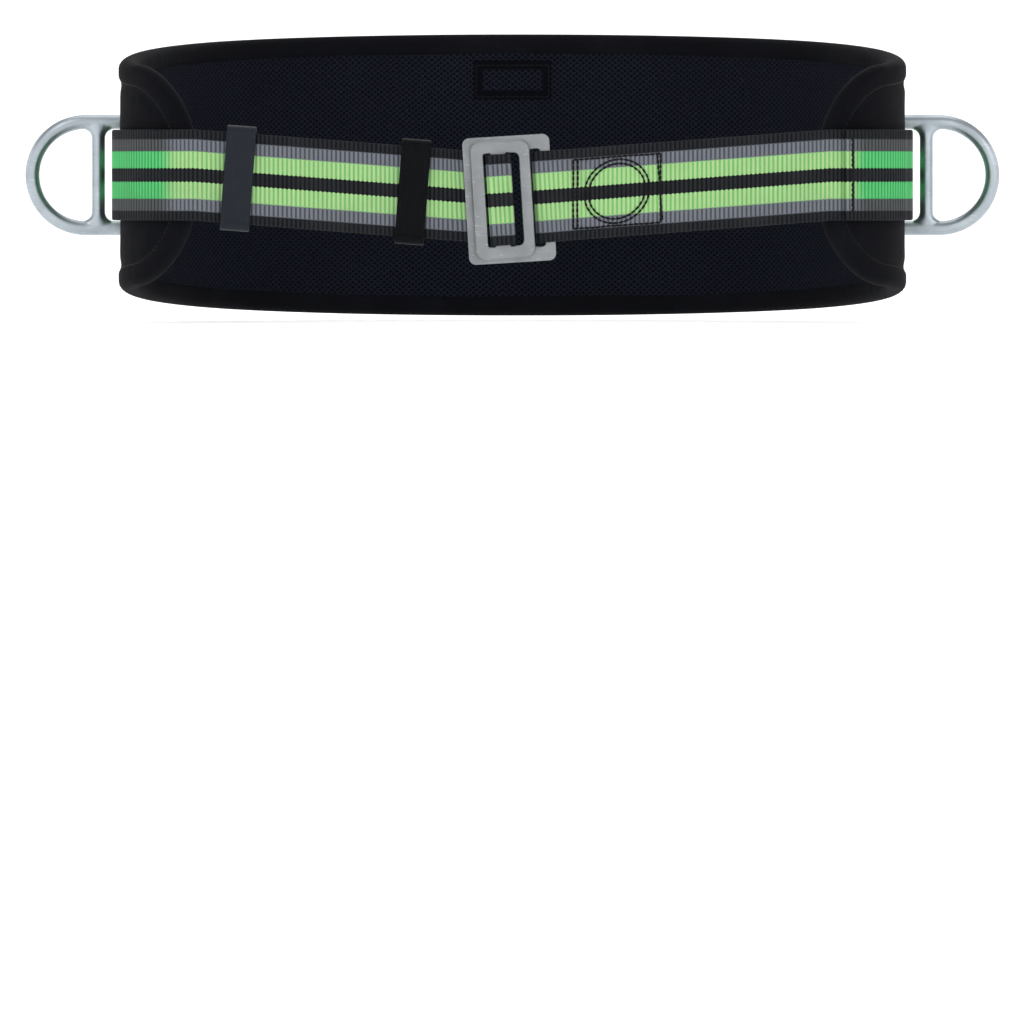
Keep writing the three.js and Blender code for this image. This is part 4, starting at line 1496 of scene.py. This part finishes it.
@dataclass
class StrapSewing:
    """The sewing on the straps: a box with a double circle at the front right, and a tack by the right ring."""

    finishes: Finishes
    straps: Straps
    box_from: float = 30.0
    box_length: float = 43.0
    box_height: float = 34.0
    circle: float = 15.9
    circle_gap: float = 2.1
    tack_at: float = 362.5
    tack_height: float = 37.0

    @property
    def face_y(self) -> float:
        """Where the front face of the right strap lies."""
        straps = self.straps
        return LOOP.front_y - straps.centre - straps.standoff - straps.thickness / 2 - 0.05

    def on_face(self, points: Iterable[tuple[float, float]]) -> list[Vector]:
        """Puts flat points on the face of the strap, sagging with it."""
        return [LOOP.hang(Vector((x, self.face_y, z))) for x, z in points]

    def line(self, start: tuple[float, float], end: tuple[float, float]) -> list[tuple[float, float]]:
        """Points from one corner to another, wandering a little as hand-guided sewing does."""
        found = []
        for i in range(81):
            share = i / 80
            x = start[0] + (end[0] - start[0]) * share
            z = start[1] + (end[1] - start[1]) * share
            found.append((x + 0.25 * wander(x / 9, z / 9, 1), z + 0.25 * wander(x / 9, z / 9, 4)))
        return found

    def box(self, sewing: Sewing) -> list[Stitch]:
        """The box, its left side sewn twice and its right side crossed over."""
        left, right = self.box_from, self.box_from + self.box_length
        low, high = -self.box_height / 2, self.box_height / 2
        sides = [
            ((left, high), (right, high)),
            ((right, high), (right, low)),
            ((right, low), (left, low)),
            ((left, low), (left, high)),
            ((left + 2.1, high), (left + 2.1, low)),
            ((right - 1.6, high), (right + 0.9, low + 1.0)),
        ]
        made = []
        for start, end in sides:
            points = self.on_face(self.line(start, end))
            made += sewing.row(points, [-Y_AXIS] * len(points))
        return made

    def rings(self, sewing: Sewing) -> list[Stitch]:
        """The double circle in the box."""
        middle = self.box_from + self.box_length / 2
        made = []
        for radius, shift in ((self.circle, 0.0), (self.circle - self.circle_gap, 0.15)):
            flat = []
            for i in range(241):
                angle = 2 * math.pi * (i / 240 + shift)
                loose = radius + 0.35 * math.sin(2 * angle + 0.6)
                flat.append((middle + loose * math.cos(angle), loose * math.sin(angle)))
            points = self.on_face(flat)
            made += sewing.row(points, [-Y_AXIS] * len(points))
        return made

    def tack(self, sewing: Sewing) -> list[Stitch]:
        """The upright tack that closes the main strap's end on to the right strap."""
        offset = self.straps.main_offset(self.tack_at) + self.straps.thickness / 2 + 0.1
        middle = LOOP.place(Vector((self.tack_at, offset, 0)))
        up = middle - LOOP.place(Vector((self.tack_at, offset - 1, 0)))
        half = Z_AXIS * self.tack_height / 2
        start, end = middle - half, middle + half
        return sewing.zigzag(start, end, up, 1.5, 1.25) + sewing.zigzag(end, start, up, 0.7, 2.1)

    def build(self) -> None:
        """Makes the three runs of stitches."""
        sewing = Sewing(thickness=1.25, pitch=2.7, share=1.05)
        runs = {
            "box_stitching": ("box_thread", self.box(sewing)),
            "circle_stitching": ("circle_thread", self.rings(sewing)),
            "right_tack": ("ring_side_tack", self.tack(sewing)),
        }
        for node, (name, stitches) in runs.items():
            finish_piece(sewing.mesh(stitches), name, self.finishes.thread, Slot.THREAD, nodes=(node,))


# The metal


@dataclass(frozen=True)
class Opening:
    """A rounded rectangle in a plate, from its left edge to its right."""

    left: float
    right: float
    height: float
    corner: float
    far_corner: float = 0.0  # the corners at its right, where they differ


def round_off(
    mesh: bmesh.types.BMesh,
    parts: Sequence[bmesh.types.BMVert | bmesh.types.BMEdge],
    radius: float,
    segments: int,
    affect: str,
) -> None:
    """Rounds corners or edges.

    Args:
        mesh: The mesh they are in.
        parts: The corners or the edges.
        radius: Of the rounding.
        segments: How many flats it has.
        affect: "VERTICES" for corners, "EDGES" for edges.
    """
    bmesh.ops.bevel(
        mesh,
        geom=parts,
        offset=radius,
        offset_type="OFFSET",
        affect=affect,
        segments=segments,
        profile=0.5,
        material=-1,
        clamp_overlap=affect == "EDGES",
    )


@dataclass
class Buckle:
    """The pass-through buckle: a female plate, and a male one that lies on it and turns to go through."""

    finishes: Finishes
    thickness: float = 4.0
    rounding: float = 1.1
    hole_rounding: float = 0.7
    frame: Opening = Opening(-21.5, 21.5, 62.5, 3.5)
    frame_window: Opening = Opening(-15.5, 16.5, 48, 1.5)
    adjuster: Opening = Opening(-14.75, 14.75, 58.5, 5)
    slots: tuple[Opening, ...] = (
        Opening(-8.25, -4.75, 45.8, 0.75),
        Opening(2.75, 9.25, 45.8, 0.75, 2.6),
    )

    @staticmethod
    def matrix(node: str) -> Matrix:
        """Where a plate stands, in millimetres."""
        return Matrix.Translation(box_middle(node)) @ Matrix.Rotation(-BUCKLE_TILT, 4, "Y")

    @staticmethod
    def outline(mesh: bmesh.types.BMesh, shape: Opening, segments: int) -> None:
        """Adds the edges of a rounded rectangle, flat on z = 0."""
        made = bmesh.ops.create_grid(mesh, x_segments=1, y_segments=1, size=0.5)["verts"]
        width, middle = shape.right - shape.left, (shape.left + shape.right) / 2
        bmesh.ops.scale(mesh, vec=(width, shape.height, 1), verts=made)
        bmesh.ops.translate(mesh, vec=(middle, 0, 0), verts=made)
        left = [vert for vert in made if vert.co.x < middle]
        right = [vert for vert in made if vert.co.x > middle]
        for corners, radius in ((left, shape.corner), (right, shape.far_corner or shape.corner)):
            round_off(mesh, corners, radius, segments, "VERTICES")
        bmesh.ops.delete(mesh, geom=mesh.faces[:], context="FACES_ONLY")

    def plate(self, outside: Opening, openings: Sequence[Opening]) -> bmesh.types.BMesh:
        """A stamped plate standing in the XZ plane, its edges rounded.

        Args:
            outside: Its outline.
            openings: The openings through it.

        Returns:
            The plate, its middle at the origin.
        """
        mesh = bmesh.new()
        self.outline(mesh, outside, 8)
        for opening in openings:
            self.outline(mesh, opening, 4)
        bmesh.ops.triangle_fill(mesh, edges=mesh.edges[:], use_beauty=True, use_dissolve=False)
        bmesh.ops.translate(mesh, vec=(0, 0, -self.thickness / 2), verts=mesh.verts)
        raised = bmesh.ops.extrude_face_region(mesh, geom=mesh.faces[:])["geom"]
        verts = [item for item in raised if isinstance(item, bmesh.types.BMVert)]
        bmesh.ops.translate(mesh, vec=(0, 0, self.thickness), verts=verts)
        bmesh.ops.recalc_face_normals(mesh, faces=mesh.faces)
        self.round_edges(mesh, outside)
        bmesh.ops.rotate(mesh, matrix=Matrix.Rotation(QUARTER_TURN, 3, "X"), verts=mesh.verts)
        return mesh

    def round_edges(self, mesh: bmesh.types.BMesh, outside: Opening) -> None:
        """Rounds the plate's outer edges, and the edges of its openings less."""
        turned = [edge for edge in mesh.edges if edge.calc_face_angle(0.0) > QUARTER_TURN / 2]
        sharp = [edge for edge in turned if self.flat(edge)]
        outer = [edge for edge in sharp if self.on_outline(edge, outside)]
        inner = [edge for edge in sharp if not self.on_outline(edge, outside)]
        for edges, radius in ((outer, self.rounding), (inner, self.hole_rounding)):
            round_off(mesh, edges, radius, 4, "EDGES")

    @staticmethod
    def flat(edge: bmesh.types.BMEdge) -> bool:
        """Whether an edge lies in a face of the plate."""
        return abs(edge.verts[0].co.z - edge.verts[1].co.z) < 1e-6

    @staticmethod
    def on_outline(edge: bmesh.types.BMEdge, outside: Opening) -> bool:
        """Whether an edge is part of the outline, and not of an opening."""
        middle = (edge.verts[0].co + edge.verts[1].co) / 2
        by_side = min(middle.x - outside.left, outside.right - middle.x) < outside.corner / 2
        return by_side or outside.height / 2 - abs(middle.y) < outside.corner / 2

    def build(self) -> None:
        """Makes both plates."""
        female = self.plate(self.frame, [self.frame_window])
        female.transform(self.matrix("female_plate"))
        nodes = ("female_plate",)
        finish_piece(female, "frame_plate", self.finishes.stamped, Slot.STEEL, nodes=nodes)
        male = self.plate(self.adjuster, self.slots)
        male.transform(self.matrix("male_plate"))
        body, nodes = Body.MALE_BUCKLE, ("male_plate",)
        finish_piece(male, "adjuster_plate", self.finishes.stamped, Slot.STEEL, body, nodes)


@dataclass
class SideRings:
    """The forged D-rings, each with a bar behind the strap and a crossbar outside it."""

    finishes: Finishes
    rod: float = 7.2
    bar: float = 6.5
    slot: float = 17.5  # from the bar to the crossbar
    straight: float = 6.5
    half: float = 26.5
    corner: float = 4.0
    fillet: float = 4.5
    hinge: tuple[float, float] = (189.4346, 0.964)  # the right ring's hinge line in plan
    grain: float = 0.55  # the size of the mesh that fuses the rods

    def hoop(self) -> bmesh.types.BMesh:
        """The bow, arms and hinge bar, in the XZ plane."""
        arm = self.slot + self.straight - self.corner
        track = Track(self.corner, self.half, [
            Run(arm),
            arc(self.half, 180),
            Run(arm),
            arc(self.corner, 90),
            Run(2 * (self.half - self.corner)),
            arc(self.corner, 90),
        ])
        points = [Vector((p.x, 0, p.y)) for p in track.points(1.0)]
        thin = track.length - 2 * (self.half - self.corner) - self.corner * QUARTER_TURN

        def relief(run: float) -> float:
            """The rod's thickness, less on the hinge bar."""
            inside = ease(run, thin - 5, thin) * (1 - ease(run, track.length - 5, track.length))
            return 1 - (1 - self.bar / self.rod) * inside

        stations = []
        for station in follow(points, 1.0, Y_AXIS):
            share = relief(station.run)
            across, out = station.across * share, station.out * share
            stations.append(Station(station.middle, across, out, station.run))
        return sweep(stations, self.circle(self.rod / 2))

    @staticmethod
    def circle(radius: float, sides: int = 20) -> list[tuple[float, float]]:
        """A round section."""
        angles = [2 * math.pi * i / sides for i in range(sides)]
        return [(radius * math.cos(angle), radius * math.sin(angle)) for angle in angles]

    def crossbar(self) -> bmesh.types.BMesh:
        """The crossbar, which widens where it meets the arms."""
        stations = []
        radius = self.rod / 2
        count = 70
        for i in range(count + 1):
            z = self.half * (2 * i / count - 1)
            inside = self.half - radius - abs(z)
            past = min(max(self.fillet - inside, 0.0), self.fillet)
            wide = radius - 0.25 + self.fillet - math.sqrt(self.fillet**2 - past**2)
            middle = Vector((self.slot, 0, z))
            stations.append(Station(middle, X_AXIS * wide / radius, Y_AXIS * 0.97, z))
        return sweep(stations, self.circle(radius))

    def forge(self, place: Matrix) -> bmesh.types.BMesh:
        """Fuses the rods into one forging and puts it in place."""
        whole = bmesh.new()
        for part in (self.hoop(), self.crossbar()):
            bmesh.ops.recalc_face_normals(part, faces=part.faces)
            add_mesh(whole, part)
        data = bpy.data.meshes.new("rods")
        whole.to_mesh(data)
        whole.free()
        rods = bpy.data.objects.new("rods", data)
        bpy.context.scene.collection.objects.link(rods)
        fuse = rods.modifiers.new("fuse", "REMESH")
        fuse.mode = "VOXEL"
        fuse.voxel_size = self.grain
        flatten = rods.modifiers.new("flatten", "SMOOTH")
        flatten.factor = 0.5
        flatten.iterations = 6
        graph = bpy.context.evaluated_depsgraph_get()
        solid = bpy.data.meshes.new_from_object(rods.evaluated_get(graph))
        mesh = bmesh.new()
        mesh.from_mesh(solid)
        mesh.transform(place)
        bpy.data.objects.remove(rods)
        bpy.data.meshes.remove(data)
        bpy.data.meshes.remove(solid)
        return mesh

    def build(self) -> None:
        """Makes both rings."""
        for side, turn, sign, body in (
            ("left", math.pi, -1, Body.LEFT_RING),
            ("right", 0.0, 1, Body.RIGHT_RING),
        ):
            x, y = self.hinge
            place = Matrix.Translation((sign * x, y, 0)) @ Matrix.Rotation(turn, 4, "Z")
            nodes = (f"ring_{side}",)
            steel = self.finishes.forged
            finish_piece(self.forge(place), f"side_ring_{side}", steel, Slot.STEEL, body, nodes, 180)


@dataclass
class Keepers:
    """Plastic sleeves that hold the strap's tail."""

    finishes: Finishes
    length: float = 14.5
    depth: float = 5.9
    height: float = 46.2
    face: float = 2.0
    end: float = 2.9
    corner: float = 2.0

    @property
    def slope(self) -> float:
        """How steeply the left run goes down towards the buckle."""
        return math.atan2(BUCKLE_SAG, LOOP.sag_reach + BUCKLE_X)

    def line(self) -> list[Vector]:
        """The middle of the sleeve's wall, round the strap, as (depth, height) in the YZ plane."""
        half_depth = (self.depth + self.face) / 2
        half_height = (self.height + self.end) / 2
        flat, tall = 2 * (half_depth - self.corner), 2 * (half_height - self.corner)
        runs = []
        for length in (flat, tall, flat, tall):
            runs += [Run(length), arc(self.corner, 90)]
        track = Track(self.corner - half_depth, half_height, runs)
        return [Vector((0, point.x, point.y)) for point in track.points(0.4)]

    def wall(self, height: float) -> float:
        """The wall's thickness at a height: more at the ends, with a lip where it is folded over."""
        half = self.height / 2
        lip_height, lip_in, lip_width = 0.4, 0.9, 0.8
        ends = (self.end / self.face - 1) * ease(abs(height), half - 1.5, half)
        lip = lip_height * hump(abs(height) - half + lip_in, lip_width)
        return 1 + ends + lip

    def build(self) -> None:
        """Makes both sleeves."""
        # The outer sleeve takes the plastic painted paler, as painted light, and the inner sleeve the one painted
        # darker, as painted shade.
        for node, name, body, finish in (
            ("keeper_outer", "outer_sleeve", Body.OUTER_KEEPER, self.finishes.lit_keeper_plastic),
            ("keeper_inner", "inner_sleeve", Body.INNER_KEEPER, self.finishes.shaded_keeper_plastic),
        ):
            stations = []
            for station in follow(self.line(), 0.5, X_AXIS):
                out = station.out * self.wall(station.middle.z)
                stations.append(Station(station.middle, station.across, out, station.run))
            mesh = sweep(stations, slab(self.length, self.face, 0.55, 8))
            turn = Matrix.Rotation(self.slope, 4, "Y")
            mesh.transform(Matrix.Translation(box_middle(node)) @ turn)
            finish_piece(mesh, name, finish, Slot.PLASTIC, body, (node,), 60)


# The studio


@dataclass
class Studio:
    """A round pale stage under soft light, and the camera level with the belt in front of it."""

    distance: float = 9.0
    lens: float = 632.8
    aim: tuple[float, float] = (-0.0002, -0.1685)
    floor: float = -0.0735
    radius: float = 15.0
    wall: float = 8.0
    glow: float = 0.48
    sky: float = 0.6
    lamps: tuple[tuple[str, Place, float, float], ...] = (
        ("key", (-1.6, -2.4, 2.6), 1.6, 20),
        ("fill", (2.2, -2.2, 1.2), 1.8, 9),
        ("top", (0, 0.6, 3.0), 2.2, 18),
        ("rim", (0.4, 3.0, 1.8), 1.8, 8),
    )

    def camera(self) -> None:
        """Makes the camera."""
        data = bpy.data.cameras.new("camera")
        data.lens = self.lens
        data.clip_end = 100
        camera = bpy.data.objects.new("camera", data)
        bpy.context.scene.collection.objects.link(camera)
        camera.location = (0, -self.distance, 0)
        look = Vector((self.aim[0], 0, self.aim[1])) - camera.location
        camera.rotation_euler = look.to_track_quat("-Z", "Y").to_euler()
        bpy.context.scene.camera = camera

    def stage(self) -> None:
        """Makes the floor, which curves up into a wall all round."""
        mesh = bmesh.new()
        profile = [Vector((0.0, 0, 0))]
        bend = 3.5
        flat = self.radius - bend
        profile += [Vector((flat * i / 4, 0, 0)) for i in range(1, 5)]
        for i in range(1, 13):
            angle = QUARTER_TURN * i / 12
            profile.append(Vector((flat + bend * math.sin(angle), 0, bend * (1 - math.cos(angle)))))
        profile.append(Vector((self.radius, 0, self.wall)))
        verts = [mesh.verts.new(point) for point in profile]
        edges = [mesh.edges.new(pair) for pair in zip(verts, verts[1:])]
        bmesh.ops.spin(mesh, geom=verts + edges, cent=(0, 0, 0), axis=(0, 0, 1), angle=2 * math.pi,
                       steps=96, use_merge=True, use_duplicate=False)
        bmesh.ops.remove_doubles(mesh, verts=mesh.verts, dist=1e-5)
        bmesh.ops.recalc_face_normals(mesh, faces=mesh.faces)
        bmesh.ops.reverse_faces(mesh, faces=mesh.faces)
        bmesh.ops.translate(mesh, vec=(0, 0, self.floor), verts=mesh.verts)
        data = bpy.data.meshes.new("stage")
        mesh.to_mesh(data)
        mesh.free()
        data.polygons.foreach_set("use_smooth", [True] * len(data.polygons))
        stage = bpy.data.objects.new("stage", data)
        bpy.context.scene.collection.objects.link(stage)
        board = Board("stage_finish")
        grain = board.noise(40, 2)
        colour = board.mix(grain, (0.86, 0.86, 0.86), (0.88, 0.88, 0.88))
        bump = board.bump(grain, 0.01)
        finish = board.close(colour, 0.9, bump, Specular_IOR_Level=0.1, Emission_Strength=self.glow)
        data.materials.append(finish)

    def light(self, name: str, place: Vector, size: float, power: float) -> None:
        """Adds a soft square light that points at the belt.

        Args:
            name: Its name.
            place: Where it is.
            size: Its side.
            power: Its power in watts.
        """
        data = bpy.data.lights.new(name, "AREA")
        data.size = size
        data.energy = power
        lamp = bpy.data.objects.new(name, data)
        bpy.context.scene.collection.objects.link(lamp)
        lamp.location = place
        lamp.rotation_euler = (-place).to_track_quat("-Z", "Y").to_euler()
        lamp.visible_camera = False

    def build(self) -> None:
        """Makes the stage, the lights and the camera."""
        self.camera()
        self.stage()
        world = bpy.data.worlds.new("world")
        world.use_nodes = True
        background = world.node_tree.nodes["Background"]
        background.inputs["Color"].default_value = (1, 1, 1, 1)
        background.inputs["Strength"].default_value = self.sky
        bpy.context.scene.world = world
        bpy.context.scene.view_settings.view_transform = "Standard"
        for name, place, size, power in self.lamps:
            self.light(name, Vector(place), size, power)


def main() -> None:
    """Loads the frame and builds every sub-assembly."""
    logging.basicConfig(level=logging.INFO, format="%(name)s: %(message)s")
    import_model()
    Studio().build()
    finishes = Finishes()
    BackSupport(finishes).build()
    BackLoops(finishes).build()
    straps = Straps(finishes)
    straps.build()
    StrapSewing(finishes, straps).build()
    Buckle(finishes).build()
    SideRings(finishes).build()
    Keepers(finishes).build()
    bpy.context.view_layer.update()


if __name__ == "__main__":
    main()
